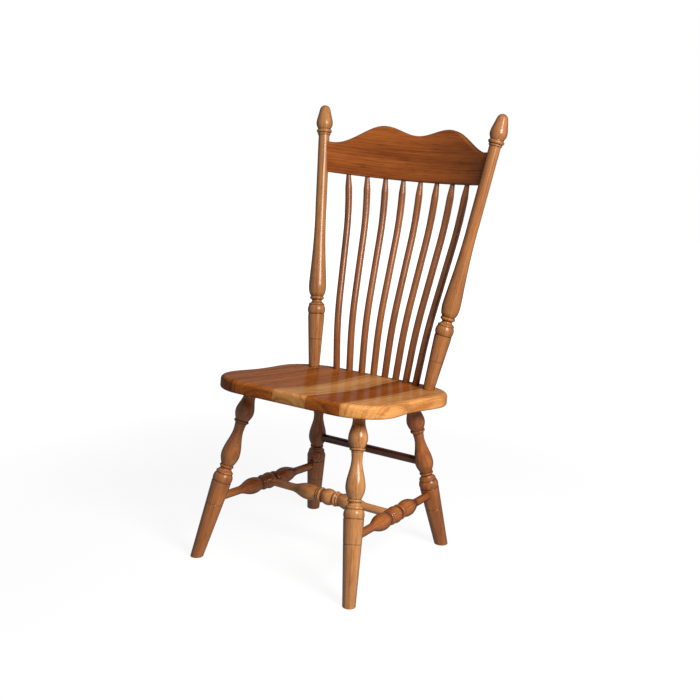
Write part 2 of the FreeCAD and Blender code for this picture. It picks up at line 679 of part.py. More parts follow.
def back():
    """Posts, crest rail, spindles and fasteners, by name, with the tools that bore the seat for them."""
    raw = post()
    crest = crest_rail([raw, mirrored(raw)])
    screw, screw_tool = post_screw()
    pins, drills = crest_pins()
    right_post = raw.cut([crest_tenons(GLUE_GAP), screw_tool] + drills)
    crest = crest.cut(drills + [mirrored(drill) for drill in drills])
    seat_tools = [socket(POST_FOOT, POST_WAY * -1, POST_TENON_LENGTH, POST_FOOT_RADIUS), screw_tool]

    pieces = {}
    spindle_tools = []
    for index in range(SPINDLE_COUNT):
        solid, seat_tool, crest_tool = spindle(index)
        pieces[f"spindle_{index + 1}"] = solid
        spindle_tools.append(seat_tool)
        crest = crest.cut(crest_tool)
    pieces["back_post_right"] = right_post
    pieces["back_post_left"] = mirrored(right_post)
    pieces["crest_rail"] = crest
    pieces["crest_rail_pins"] = Part.Compound(pins + [mirrored(pin) for pin in pins])
    pieces["post_screws"] = Part.Compound([screw, mirrored(screw)])
    return pieces, seat_tools, spindle_tools


def seat_outline():
    """Closed outline of the seat in its own plane: rounded corners and a waist each side."""
    half_front = SEAT_FRONT_WIDTH / 2
    half_back = SEAT_BACK_WIDTH / 2
    inset = 1 - math.sqrt(1 / 2)
    front_in = V(half_front - SEAT_FRONT_CORNER, -SEAT_FRONT, 0)
    front_mid = V(half_front - SEAT_FRONT_CORNER * inset, SEAT_FRONT_CORNER * inset - SEAT_FRONT, 0)
    front_out = V(half_front, SEAT_FRONT_CORNER - SEAT_FRONT, 0)
    waist = V(SEAT_WAIST_WIDTH / 2, SEAT_WAIST_SET, 0)
    back_out = V(half_back, SEAT_BACK - SEAT_BACK_CORNER, 0)
    back_mid = V(half_back - SEAT_BACK_CORNER * inset, SEAT_BACK - SEAT_BACK_CORNER * inset, 0)
    back_in = V(half_back - SEAT_BACK_CORNER, SEAT_BACK, 0)
    right = [
        arc(front_in, front_mid, front_out),
        wave_along_y(front_out, waist),
        wave_along_y(waist, back_out),
        arc(back_out, back_mid, back_in),
    ]
    left = [mirrored(edge) for edge in right]
    front = line(V(-front_in.x, front_in.y, 0), front_in)
    rear = line(V(-back_in.x, back_in.y, 0), back_in)
    return Part.Wire(Part.__sortEdges__(right + left + [front, rear]))


def seat_blank():
    """The glued-up seat before it is bored: shaped, rounded and dished."""
    blank = Part.Face(seat_outline()).extrude(V(0, 0, -SEAT_THICKNESS))
    top = [e for e in blank.Edges if e.BoundBox.ZMin > -PICK]
    blank = blank.makeFillet(SEAT_TOP_ROUND, top)
    low = [e for e in blank.Edges if e.BoundBox.ZMax < PICK - SEAT_THICKNESS]
    blank = blank.makeFillet(SEAT_BOTTOM_ROUND, low)
    ball = (DISH_RADIUS ** 2 + DISH_DEPTH ** 2) / (2 * DISH_DEPTH)
    blank = blank.cut(Part.makeSphere(ball, V(0, 0, ball - DISH_DEPTH)))
    blank.Placement = FreeCAD.Placement(V(0, 0, SEAT_HEIGHT), FreeCAD.Rotation(V(1, 0, 0), -SEAT_TILT))
    return blank


def seat_boards(side_tools, middle_tools):
    """The bored seat, split along its glue joints from the left. The side tools bore both sides."""
    blank = seat_blank()
    for tool in side_tools:
        blank = blank.cut(tool).cut(mirrored(tool))
    for tool in middle_tools:
        blank = blank.cut(tool)
    boards = {}
    low = -REACH
    for index in range(BOARD_COUNT):
        high = FIRST_JOINT + BOARD_WIDTH * index if index < BOARD_COUNT - 1 else REACH
        block = Part.makeBox(high - low, 2 * REACH, REACH, V(low, -REACH, 0))
        boards[f"seat_board_{index + 1}"] = blank.common(block)
        low = high
    return boards


def main():
    """Builds the chair, stands it on its origin and writes one file for each piece."""
    legs, leg_tools = undercarriage()
    upper, post_tools, spindle_tools = back()
    pieces = {**legs, **upper, **seat_boards(leg_tools + post_tools, spindle_tools)}

    box = FreeCAD.BoundBox()
    for piece in pieces.values():
        box.add(piece.optimalBoundingBox(False))
    shift = V(-box.Center.x, -box.Center.y, -box.ZMin)
    print(f"moved by {shift.x:.3f} {shift.y:.3f} {shift.z:.3f}")
    print(f"size {box.XLength:.1f} {box.YLength:.1f} {box.ZLength:.1f}")

    os.makedirs("parts", exist_ok=True)
    for name, piece in sorted(pieces.items()):
        piece = Part.Compound([solid.translated(shift) for solid in piece.Solids])
        solids = piece.Solids
        print(name, len(solids), piece.isValid(), f"{piece.Volume / 1000:.1f} cm3")
        shape = solids[0] if len(solids) == 1 else piece
        shape.exportStep(f"parts/{name}.step")


main()
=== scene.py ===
import json
import logging
import math
from dataclasses import dataclass, replace
from enum import Enum
from typing import Callable, Iterable, Sequence

import bmesh
import bpy
from mathutils import Matrix, Vector


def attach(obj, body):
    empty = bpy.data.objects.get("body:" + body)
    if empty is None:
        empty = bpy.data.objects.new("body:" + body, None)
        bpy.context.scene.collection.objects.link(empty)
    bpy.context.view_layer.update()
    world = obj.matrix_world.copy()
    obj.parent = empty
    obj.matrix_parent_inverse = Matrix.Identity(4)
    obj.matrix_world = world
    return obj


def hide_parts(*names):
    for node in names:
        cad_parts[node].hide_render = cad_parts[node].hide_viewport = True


# Looks of a spindle-back side chair in lacquered oak, in metres. +Z is up and the front faces -Y.
# Each turned, bent or shaped piece is modelled finely here and stands for its piece of the frame.

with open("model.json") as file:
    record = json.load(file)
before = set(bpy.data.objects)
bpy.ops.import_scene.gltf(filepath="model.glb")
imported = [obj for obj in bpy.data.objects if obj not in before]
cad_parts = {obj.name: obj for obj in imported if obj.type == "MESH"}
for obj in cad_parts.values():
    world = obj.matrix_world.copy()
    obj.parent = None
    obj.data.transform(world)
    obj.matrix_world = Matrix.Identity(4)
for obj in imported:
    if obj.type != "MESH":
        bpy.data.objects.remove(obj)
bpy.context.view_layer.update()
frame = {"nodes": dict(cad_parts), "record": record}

LOG = logging.getLogger("chair")
BODY = "root"
ORIGIN = Vector((0, 0, 0))
ACROSS = Vector((1, 0, 0))
TINY = 0.00001  # Points closer than this are one point
CORNER_DEGREES = 60  # Faces that turn by more than this meet at a corner
SCRIBE_WIDTH = 0.0018
SCRIBE_DEPTH = 0.0006
FEET = {mount["name"]: Vector(mount["pos_m"]) for mount in frame["record"]["mounts"]}
MIDWAY = (FEET["foot_front_right"].y + FEET["foot_back_right"].y) / 2


# Small helpers for work with operators

def deselect() -> None:
    """Leaves nothing selected and nothing active."""
    for item in bpy.context.selected_objects:
        item.select_set(False)
    bpy.context.view_layer.objects.active = None


def activate(piece: bpy.types.Object) -> None:
    """Makes a piece the only one that is selected.

    Args:
        piece: The object that the next operators act on.
    """
    deselect()
    piece.select_set(True)
    bpy.context.view_layer.objects.active = piece


def edit(piece: bpy.types.Object, work: Callable[[], None]) -> None:
    """Runs some work in edit mode.

    Args:
        piece: The object to edit.
        work: A function that calls mesh operators.
    """
    activate(piece)
    bpy.ops.object.mode_set(mode="EDIT")
    work()
    bpy.ops.object.mode_set(mode="OBJECT")


class Part(Enum):
    """Parts of a mesh that can be picked."""

    POINTS = "VERT"
    EDGES = "EDGE"


def pick(piece: bpy.types.Object, part: Part, wanted: Callable[[object], bool]) -> None:
    """Selects points or edges by their place, in edit mode.

    Args:
        piece: The object that is being edited.
        part: What to pick.
        wanted: Says of a point or an edge whether it is selected.
    """
    bpy.ops.mesh.select_mode(type=part.value)
    bpy.ops.mesh.select_all(action="DESELECT")
    mesh = bmesh.from_edit_mesh(piece.data)
    for item in mesh.edges if part is Part.EDGES else mesh.verts:
        item.select_set(wanted(item))
    bmesh.update_edit_mesh(piece.data)


def bevel(piece: bpy.types.Object, wanted: Callable[[bmesh.types.BMEdge], bool], offset: float,
          segments: int) -> None:
    """Bevels the wanted edges by so much on each side, with so many faces across, in edit mode."""
    pick(piece, Part.EDGES, wanted)
    bpy.ops.mesh.bevel(offset=offset, segments=segments, affect="EDGES")


def merge_doubles() -> None:
    """Merges points in the same place, in edit mode."""
    bpy.ops.mesh.select_all(action="SELECT")
    bpy.ops.mesh.remove_doubles(threshold=TINY)


def face_outward() -> None:
    """Turns every face of a closed piece out, in edit mode."""
    bpy.ops.mesh.select_all(action="SELECT")
    bpy.ops.mesh.normals_make_consistent(inside=False)


def select_faces() -> None:
    """Selects every face, in edit mode."""
    bpy.ops.mesh.select_mode(type="FACE")
    bpy.ops.mesh.select_all(action="SELECT")


def extrude_edges_still() -> None:
    """Extrudes the selected edges without moving them, in edit mode."""
    bpy.ops.mesh.extrude_edges_move(TRANSFORM_OT_translate={"value": (0, 0, 0)})


def corner_edge(edge: bmesh.types.BMEdge) -> bool:
    """Whether the two faces at an edge meet at a corner."""
    return len(edge.link_faces) == 2 and edge.calc_face_angle() > math.radians(CORNER_DEGREES)


def rail_edge(edge: bmesh.types.BMEdge) -> bool:
    """Whether an edge is a corner that runs along X, up or down, and not through the thickness."""
    run = edge.verts[1].co - edge.verts[0].co
    return corner_edge(edge) and abs(run.x) > abs(run.y)


def start_point(name: str, place: Vector) -> bpy.types.Object:
    """Starts a drawn piece as a small plane merged to one point.

    Args:
        name: The piece's name.
        place: The point.

    Returns:
        The piece, with that point selected in edit mode.
    """
    deselect()
    bpy.ops.mesh.primitive_plane_add(size=0.01, location=place)
    piece = bpy.context.object
    piece.name = name
    piece.data.name = name
    bpy.ops.object.transform_apply(location=True)

    def gather() -> None:
        """Merges the plane to its middle."""
        bpy.ops.mesh.select_mode(type="VERT")
        bpy.ops.mesh.select_all(action="SELECT")
        bpy.ops.mesh.merge(type="CENTER")

    edit(piece, gather)
    return piece


def draw_on(points: Sequence[Vector]) -> None:
    """Draws a line of points on from the single point that a piece starts with, in edit mode.

    Args:
        points: The points, from the piece's own first one.
    """
    bpy.ops.mesh.select_mode(type="VERT")
    bpy.ops.mesh.select_all(action="SELECT")
    for before, after in zip(points, points[1:]):
        bpy.ops.mesh.extrude_vertices_move(TRANSFORM_OT_translate={"value": after - before})


def apply_modifiers(piece: bpy.types.Object) -> None:
    """Applies every modifier of a piece, in order.

    Args:
        piece: The object.
    """
    activate(piece)
    for modifier in list(piece.modifiers):
        bpy.ops.object.modifier_apply(modifier=modifier.name)


def settle(piece: bpy.types.Object, placement: Matrix) -> None:
    """Puts a piece in its place, with the place in its mesh.

    Args:
        piece: The object, modelled in its own frame.
        placement: From its own frame to the chair's.
    """
    activate(piece)
    piece.matrix_world = placement
    bpy.ops.object.transform_apply(location=True, rotation=True, scale=True)


def duplicate(piece: bpy.types.Object, name: str) -> bpy.types.Object:
    """Copies a piece with its own mesh.

    Args:
        piece: The object to copy.
        name: The copy's name.

    Returns:
        The copy.
    """
    activate(piece)
    bpy.ops.object.duplicate(linked=False)
    copy = bpy.context.object
    copy.name = name
    copy.data.name = name
    return copy


def mirror(piece: bpy.types.Object) -> None:
    """Mirrors a settled piece to the other side of the chair and turns its faces out again."""
    settle(piece, Matrix.Scale(-1, 4, ACROSS))
    edit(piece, face_outward)


def smooth(piece: bpy.types.Object, angle: float = 32.0) -> None:
    """Shades a piece smooth, except over edges sharper than an angle in degrees."""
    activate(piece)
    bpy.ops.object.shade_smooth_by_angle(angle=math.radians(angle))


def aim(start: Vector, way: Vector) -> Matrix:
    """Placement that stands a piece made along +Z at a point, along a direction."""
    turn = Vector((0, 0, 1)).rotation_difference(way).to_matrix().to_4x4()
    return Matrix.Translation(start) @ turn


def stand(x: Vector, y: Vector, z: Vector, place: Vector) -> Matrix:
    """Placement at a point, with its axes along three directions."""
    return Matrix((*((x[i], y[i], z[i], place[i]) for i in range(3)), (0, 0, 0, 1)))


def outward(angle: float, rise: float) -> Vector:
    """Direction from the chair out, by an angle round it from its front and one upwards, in radians."""
    level = math.cos(rise)
    return Vector((math.sin(angle) * level, -math.cos(angle) * level, math.sin(rise)))


# Turned outlines

def ease(share: float) -> float:
    """Half a cosine wave from 0 to 1."""
    return (1 - math.cos(math.pi * share)) / 2


class Form(Enum):
    """Shape of one stretch of a turned outline."""

    STRAIGHT = "straight"
    OGEE = "ogee"
    FALLING = "falling"
    RISING = "rising"
    ROUND = "round"


@dataclass(frozen=True)
class Stretch:
    """One stretch of a turned outline.

    Attributes:
        form: Its shape.
        length: Its length along the axis.
        radius: The radius where it ends.
        bulge: How far a round stretch stands out halfway, past the line between its ends.
        skew: Moves an ogee's slope towards its start, below 1, or its end, above 1.
        stain: Strength of the dark line where it ends, from 0 to 1: stain in a scribed line, painted shade in
            a crevice or where the piece meets another.
        turned_round: Whether it is read from its end to its start.
    """

    form: Form
    length: float
    radius: float
    bulge: float = 0.0
    skew: float = 1.0
    stain: float = 0.0
    turned_round: bool = False

    def radius_at(self, share: float, start: float) -> float:
        """Radius at a share of the length.

        Args:
            share: From 0 to 1.
            start: The radius where the stretch starts.

        Returns:
            The radius there.
        """
        first, last = start, self.radius
        if self.turned_round:
            share, first, last = 1 - share, last, first
        if self.form is Form.STRAIGHT:
            return first + (last - first) * share
        if self.form is Form.OGEE:
            return first + (last - first) * ease(share ** self.skew)
        if self.form is Form.FALLING:
            return last + (first - last) * math.cos(share * math.pi / 2)
        if self.form is Form.RISING:
            return first + (last - first) * math.sin(share * math.pi / 2)
        middle = (first + last) / 2 + self.bulge
        return round_radius(share * self.length, self.length, first, middle, last)


def round_radius(distance: float, length: float, start: float, middle: float, end: float) -> float:
    """Radius on the arc through three points of an outline.

    Args:
        distance: How far along the stretch.
        length: The stretch's length.
        start: Radius at its start.
        middle: Radius halfway.
        end: Radius at its end.

    Returns:
        The radius at the distance.
    """
    half = length / 2
    scale = 2 * (half * (end - start) + length * (start - middle))
    first = start ** 2
    second = half ** 2 + middle ** 2
    third = length ** 2 + end ** 2
    centre_z = (first * (middle - end) + second * (end - start) + third * (start - middle)) / scale
    centre_r = (first * (length - half) - second * length + third * half) / scale
    reach = (middle - centre_r) ** 2 + (half - centre_z) ** 2
    return centre_r + math.copysign(math.sqrt(reach - (distance - centre_z) ** 2), middle - centre_r)


@dataclass(frozen=True)
class Outline:
    """Outline of a turned piece along +Z.

    Attributes:
        start: Distance of its first point.
        radius: Radius of its first point.
        stretches: What follows, end to end.
        straight_step: The longest step along a straight stretch.
    """

    start: float
    radius: float
    stretches: tuple[Stretch, ...]
    straight_step: float = 1.0

    def points(self) -> list[tuple[float, float]]:
        """Points of the outline from pole to pole, as radius and distance.

        Curved stretches have short steps, and long ones close points beside their ends.

        Returns:
            The points.
        """
        close = (0.0008, 0.0020)
        long = 0.006
        result = [(0.0, self.start), (self.radius, self.start)]
        distance = self.start
        radius = self.radius
        for stretch in self.stretches:
            curved = stretch.form is not Form.STRAIGHT
            fewest, step = (7, 0.0035) if curved else (1, self.straight_step)
            steps = max(fewest, math.ceil(stretch.length / step))
            marks = {round(i / steps, 5) for i in range(1, steps + 1)}
            if stretch.length > long:
                marks |= {round(gap / stretch.length, 5) for gap in close}
                marks |= {round(1 - gap / stretch.length, 5) for gap in close}
            for share in sorted(marks):
                result.append((stretch.radius_at(share, radius), distance + share * stretch.length))
            distance += stretch.length
            radius = stretch.radius
        result.append((0.0, distance))
        return result

    def lines(self) -> list[tuple[float, float]]:
        """Where the dark lines lie.

        Returns:
            Distance and strength of each.
        """
        marks = []
        distance = self.start
        for stretch in self.stretches:
            distance += stretch.length
            if stretch.stain > 0:
                marks.append((distance, stretch.stain))
        return marks


def lathe(name: str, outline: Outline, sides: int) -> bpy.types.Object:
    """Turns an outline into a closed solid along +Z.

    Args:
        name: The piece's name.
        outline: Its outline.
        sides: How many faces go round it.

    Returns:
        The new piece, in its own frame.
    """
    points = [Vector((radius, 0, distance)) for radius, distance in outline.points()]
    piece = start_point(name, points[0])

    def turn() -> None:
        """Draws the outline and spins it."""
        draw_on(points)
        bpy.ops.mesh.select_all(action="SELECT")
        bpy.ops.mesh.spin(steps=sides, angle=2 * math.pi, center=ORIGIN, axis=(0, 0, 1))
        merge_doubles()
        face_outward()

    edit(piece, turn)
    return piece


def turned(name: str, outline: Outline, sides: int, shift: Vector, placement: Matrix) -> bpy.types.Object:
    """Turns a piece, stores what its finish reads and puts it in its place.

    Args:
        name: The piece's name.
        outline: Its outline.
        sides: How many faces go round it.
        shift: Which part of the wood it shows.
        placement: From its own frame to the chair's.

    Returns:
        The piece.
    """
    piece = lathe(name, outline, sides)
    store_lines(piece, outline.lines())
    store_grain(piece, Matrix.Identity(4), shift)
    settle(piece, placement)
    return piece


def scribed_taper(length: float, start: float, end: float, scribe: float) -> tuple[Stretch, ...]:
    """A straight taper with a scribed line round it.

    Args:
        length: The taper's length.
        start: Its first radius.
        end: Its last radius.
        scribe: Distance of the line from its start.

    Returns:
        The stretches.
    """
    half = SCRIBE_WIDTH / 2
    places = (scribe - half, scribe, scribe + half)
    before, middle, after = (start + (end - start) * place / length for place in places)
    return (
        Stretch(Form.STRAIGHT, scribe - half, before),
        Stretch(Form.STRAIGHT, half, middle - SCRIBE_DEPTH, stain=0.55),
        Stretch(Form.STRAIGHT, half, after),
        Stretch(Form.STRAIGHT, length - scribe - half, end),
    )


# What the finishes read from a piece: where its wood lies in the plank, and its dark lines

def store_grain(piece: bpy.types.Object, to_plank: Matrix, shift: Vector) -> None:
    """Stores where each point lies in the plank that the piece was cut from, with the plank along +Z.

    Args:
        piece: The piece.
        to_plank: From the mesh's frame to the plank's.
        shift: Which part of the wood this piece shows.
    """
    layer = piece.data.attributes.new("grain", "FLOAT_VECTOR", "POINT")
    for vertex, item in zip(piece.data.vertices, layer.data):
        item.vector = to_plank @ vertex.co + shift


def store_lines(piece: bpy.types.Object, lines: Iterable[tuple[float, float]], width: float = 0.0011) -> None:
    """Stores how near each point lies to a dark line round a piece along +Z.

    Args:
        piece: The piece, in its own frame.
        lines: Distance and strength of each line.
        width: How wide a line's dark band is.
    """
    layer = piece.data.attributes.new("scored", "FLOAT", "POINT")
    marks = list(lines)
    for vertex, item in zip(piece.data.vertices, layer.data):
        shares = (strength * math.exp(-(((vertex.co.z - mark) / width) ** 2)) for mark, strength in marks)
        item.value = max(shares, default=0.0)


# Node groups and finishes

class Nodes:
    """Builds a node tree by adding nodes and links with less to write."""

    def __init__(self, tree: bpy.types.NodeTree) -> None:
        """Takes the tree to build in."""
        self.tree = tree

    def add(self, kind: str, **settings: object) -> bpy.types.Node:
        """Adds a node.

        Args:
            kind: The node's type.
            settings: Its properties.

        Returns:
            The node.
        """
        node = self.tree.nodes.new(kind)
        for key, value in settings.items():
            setattr(node, key, value)
        return node

    def feed(self, socket: bpy.types.NodeSocket, value: object) -> None:
        """Links an output to a socket, or sets the socket's own value.

        Args:
            socket: The socket.
            value: An output or a plain value.
        """
        if isinstance(value, bpy.types.NodeSocket):
            self.tree.links.new(value, socket)
        else:
            socket.default_value = value

    def math(self, operation: str, *values: object, clamp: bool = False) -> bpy.types.NodeSocket:
        """Adds a Math node.

        Args:
            operation: What it does.
            values: Its inputs in order, as outputs or numbers.
            clamp: Whether the result is kept between 0 and 1.

        Returns:
            Its output.
        """
        node = self.add("ShaderNodeMath", operation=operation, use_clamp=clamp)
        for socket, value in zip(node.inputs, values):
            self.feed(socket, value)
        return node.outputs[0]

    def vector(self, operation: str, *values: object) -> bpy.types.NodeSocket:
        """Adds a Vector Math node.

        Args:
            operation: What it does.
            values: Its inputs in order, as outputs or vectors.

        Returns:
            Its output.
        """
        node = self.add("ShaderNodeVectorMath", operation=operation)
        for socket, value in zip(node.inputs, values):
            self.feed(socket, value)
        return node.outputs["Value" if operation == "LENGTH" else "Vector"]

    def mix(self, share: object, first: object, second: object, blend: str = "MIX") -> bpy.types.NodeSocket:
        """Mixes two colours.

        Args:
            share: How much of the second shows.
            first: The first colour.
            second: The second colour.
            blend: How they are mixed.

        Returns:
            The mixed colour.
        """
        node = self.add("ShaderNodeMix", data_type="RGBA", blend_type=blend)
        self.feed(node.inputs["Factor"], share)
        self.feed(node.inputs["A"], first)
        self.feed(node.inputs["B"], second)
        return node.outputs["Result"]

    def ramp(self, value: object, low: float, high: float) -> bpy.types.NodeSocket:
        """Turns a value between two limits into 0 to 1, smoothly.

        Args:
            value: The value.
            low: What becomes 0.
            high: What becomes 1.

        Returns:
            The result.
        """
        node = self.add("ShaderNodeMapRange", interpolation_type="SMOOTHSTEP")
        self.feed(node.inputs["Value"], value)
        node.inputs["From Min"].default_value = low
        node.inputs["From Max"].default_value = high
        return node.outputs["Result"]

    def noise(self, vector: object, stretch: Sequence[float], detail: float = 3.0) -> bpy.types.NodeSocket:
        """Adds noise.

        Args:
            vector: Where it is read.
            stretch: Features a metre along each axis.
            detail: How much finer noise it holds.

        Returns:
            Its value.
        """
        node = self.add("ShaderNodeTexNoise")
        node.inputs["Scale"].default_value = 1.0
        node.inputs["Detail"].default_value = detail
        self.feed(node.inputs["Vector"], self.vector("MULTIPLY", vector, tuple(stretch)))
        return node.outputs["Fac"]

    def surface(self, shader: bpy.types.NodeSocket) -> None:
        """Makes a shader the material's surface."""
        self.feed(self.add("ShaderNodeOutputMaterial").inputs["Surface"], shader)


def new_material(name: str) -> tuple[bpy.types.Material, Nodes]:
    """Starts a material with an empty tree.

    Args:
        name: The material's name.

    Returns:
        The material and the builder of its tree.
    """
    material = bpy.data.materials.new(name)
    material.use_nodes = True
    material.node_tree.nodes.clear()
    return material, Nodes(material.node_tree)


def group(name: str, inputs: dict[str, tuple[str, object]], outputs: dict[str, str]) -> Nodes:
    """Starts a shader node group.

    Args:
        name: The group's name.
        inputs: Socket type and value by name.
        outputs: Socket type by name.

    Returns:
        The builder of its tree, which has an input and an output node.
    """
    tree = bpy.data.node_groups.new(name, "ShaderNodeTree")
    for title, (kind, value) in inputs.items():
        socket = tree.interface.new_socket(title, in_out="INPUT", socket_type=kind)
        if value is not None:
            socket.default_value = value
    for title, kind in outputs.items():
        tree.interface.new_socket(title, in_out="OUTPUT", socket_type=kind)
    build = Nodes(tree)
    build.source = build.add("NodeGroupInput").outputs
    build.result = build.add("NodeGroupOutput").inputs
    return build


def oak_group() -> bpy.types.NodeTree:
    """Oak as it lies in the plank: growth rings, fibres, pores and broad changes of tone.

    Returns:
        The node group.
    """
    g = group(
        "oak",
        {
            "Plank": ("NodeSocketVector", None),
            "Pale": ("NodeSocketColor", (0.5, 0.25, 0.1, 1)),
            "Deep": ("NodeSocketColor", (0.2, 0.08, 0.03, 1)),
            "Ring width": ("NodeSocketFloat", 0.004),
            "Figure": ("NodeSocketFloat", 1.0),
        },
        {"Color": "NodeSocketColor", "Roughness": "NodeSocketFloat", "Height": "NodeSocketFloat"},
    )
    plank = g.source["Plank"]
    drift = g.noise(plank, (8, 8, 1.4), 2.0)
    wander = g.noise(plank, (60, 60, 5), 2.0)
    distance = g.vector("LENGTH", g.vector("MULTIPLY", plank, (1, 1, 0)))
    for wave, reach in ((drift, 0.030), (wander, 0.0040)):
        distance = g.math("ADD", distance, g.math("MULTIPLY", wave, reach))
    ring = g.add("ShaderNodeCombineXYZ")
    g.feed(ring.inputs["X"], g.math("DIVIDE", distance, g.source["Ring width"]))
    band = g.ramp(g.noise(ring.outputs["Vector"], (1, 1, 1), 2.0), 0.32, 0.68)
    fibre = g.noise(plank, (210, 210, 5), 5.0)
    broad = g.noise(plank, (20, 20, 2.4), 2.0)
    mottle = g.noise(plank, (85, 85, 28), 2.0)
    pore = g.ramp(g.noise(plank, (620, 620, 24), 3.0), 0.54, 0.70)
    pore = g.math("MULTIPLY", pore, g.math("ADD", g.math("MULTIPLY", band, 0.6), 0.4))
    tone = g.math("MULTIPLY", g.math("SUBTRACT", band, 0.5), g.math("MULTIPLY", g.source["Figure"], 0.45))
    for change, weight in ((fibre, 1.0), (broad, 1.3), (mottle, 0.6)):
        tone = g.math("ADD", tone, g.math("MULTIPLY", g.math("SUBTRACT", change, 0.5), weight))
    tone = g.math("ADD", tone, g.math("MULTIPLY", pore, 0.75))
    tone = g.math("ADD", tone, 0.36, clamp=True)
    g.feed(g.result["Color"], g.mix(tone, g.source["Pale"], g.source["Deep"]))
    rough = g.math("ADD", 0.34, g.math("MULTIPLY", pore, 0.2))
    rough = g.math("ADD", rough, g.math("MULTIPLY", mottle, 0.12))
    g.feed(g.result["Roughness"], rough)
    height = g.math("MULTIPLY", fibre, 0.35)
    g.feed(g.result["Height"], g.math("SUBTRACT", height, g.math("MULTIPLY", pore, 0.9)))
    return g.tree


def score_and_shade_group() -> bpy.types.NodeTree:
    """Dark stain held in scribed lines, and painted shade in tight corners and where pieces meet.

    Returns:
        The node group.
    """
    g = group(
        "score",
        {
            "Color": ("NodeSocketColor", (0.5, 0.25, 0.1, 1)),
            "Roughness": ("NodeSocketFloat", 0.3),
            "Plank": ("NodeSocketVector", None),
            "Scored": ("NodeSocketFloat", 0.0),
            "Stain": ("NodeSocketColor", (0.035, 0.012, 0.005, 1)),
        },
        {"Color": "NodeSocketColor", "Roughness": "NodeSocketFloat"},
    )
    uneven = g.math("ADD", 0.65, g.math("MULTIPLY", g.noise(g.source["Plank"], (160, 160, 160), 2.0), 0.6))
    share = g.math("MULTIPLY", g.source["Scored"], uneven, clamp=True)
    g.feed(g.result["Color"], g.mix(share, g.source["Color"], g.source["Stain"]))
    g.feed(g.result["Roughness"], g.math("ADD", g.source["Roughness"], g.math("MULTIPLY", share, 0.25)))
    return g.tree


# Colour multiplied into the wood as painted shade where a piece turns away from the view.
RIM_SHADE_TONE = (0.14, 0.07, 0.04, 1)


@dataclass(frozen=True)
class WoodFinish:
    """Lacquered oak in one tone.

    The record's slots fix the names. The lacquer lies over a base without a gloss of its own.

    Attributes:
        slot: The record's material slot.
        pale: Colour between the growth rings.
        deep: Colour of the rings and pores.
        ring_width: Distance between growth rings.
        figure: How strongly the rings show.
        coat: Weight of the lacquer's gloss.
        rim_shade: How much darker the wood is painted where it turns away from the view, as painted shade at
            its edges.
        coat_rough: Roughness of the lacquer.
        coat_index: How strongly the lacquer mirrors what it faces.
        tone: Name of a second, darker tone in the same slot, which carries painted shade.
    """

    slot: str
    pale: tuple[float, float, float]
    deep: tuple[float, float, float]
    ring_width: float = 0.0045
    figure: float = 1.0
    coat: float = 0.20
    rim_shade: float = 0.85
    coat_rough: float = 0.27
    coat_index: float = 2.2
    tone: str = ""

    def material(self) -> bpy.types.Material:
        """Gives the finish's material, which it builds the first time.

        Returns:
            The material.
        """
        name = self.slot + self.tone + "_finish"
        known = bpy.data.materials.get(name)
        if known:
            return known
        material, n = new_material(name)
        plank = n.add("ShaderNodeAttribute", attribute_name="grain").outputs["Vector"]
        # Dark lines read from the piece: stain in scribed lines, painted shade in crevices and at joints.
        scored = n.add("ShaderNodeAttribute", attribute_name="scored").outputs["Fac"]
        oak = n.add("ShaderNodeGroup", node_tree=shared_group("oak", oak_group))
        n.feed(oak.inputs["Plank"], plank)
        for title, value in (("Pale", (*self.pale, 1)), ("Deep", (*self.deep, 1)),
                             ("Ring width", self.ring_width), ("Figure", self.figure)):
            oak.inputs[title].default_value = value
        score = n.add("ShaderNodeGroup", node_tree=shared_group("score", score_and_shade_group))
        n.feed(score.inputs["Color"], oak.outputs["Color"])
        n.feed(score.inputs["Roughness"], oak.outputs["Roughness"])
        n.feed(score.inputs["Plank"], plank)
        n.feed(score.inputs["Scored"], scored)
        bump = n.add("ShaderNodeBump")
        bump.inputs["Strength"].default_value = 0.25
        bump.inputs["Distance"].default_value = 0.0003
        n.feed(bump.inputs["Height"], oak.outputs["Height"])
        # Painted shade: the colour darkens towards each piece's turned-away edges.
        facing = n.ramp(n.add("ShaderNodeLayerWeight").outputs["Facing"], 0.30, 0.95)
        rim_shade_share = n.math("MULTIPLY", facing, self.rim_shade)
        color = n.mix(rim_shade_share, score.outputs["Color"], RIM_SHADE_TONE, "MULTIPLY")
        shader = n.add("ShaderNodeBsdfPrincipled")
        n.feed(shader.inputs["Base Color"], color)
        n.feed(shader.inputs["Roughness"], score.outputs["Roughness"])
        n.feed(shader.inputs["Normal"], bump.outputs["Normal"])
        for title, value in (("Specular IOR Level", 0.0), ("Coat Weight", self.coat),
                             ("Coat Roughness", self.coat_rough), ("Coat IOR", self.coat_index)):
            shader.inputs[title].default_value = value
        n.surface(shader.outputs["BSDF"])
        return material


def shared_group(name: str, build: Callable[[], bpy.types.NodeTree]) -> bpy.types.NodeTree:
    """Gives a node group by name, which is built the first time."""
    return bpy.data.node_groups.get(name) or build()


def seat_finish(slot: str, pale: tuple[float, float, float], deep: tuple[float, float, float],
                coat: float = 0.10, rim_shade: float = 0.35) -> WoodFinish:
    """Finish of a seat board, with wide rings and a thin clear lacquer."""
    return WoodFinish(slot, pale, deep, 0.011, 1.5, coat, rim_shade, coat_rough=0.17, coat_index=1.5)


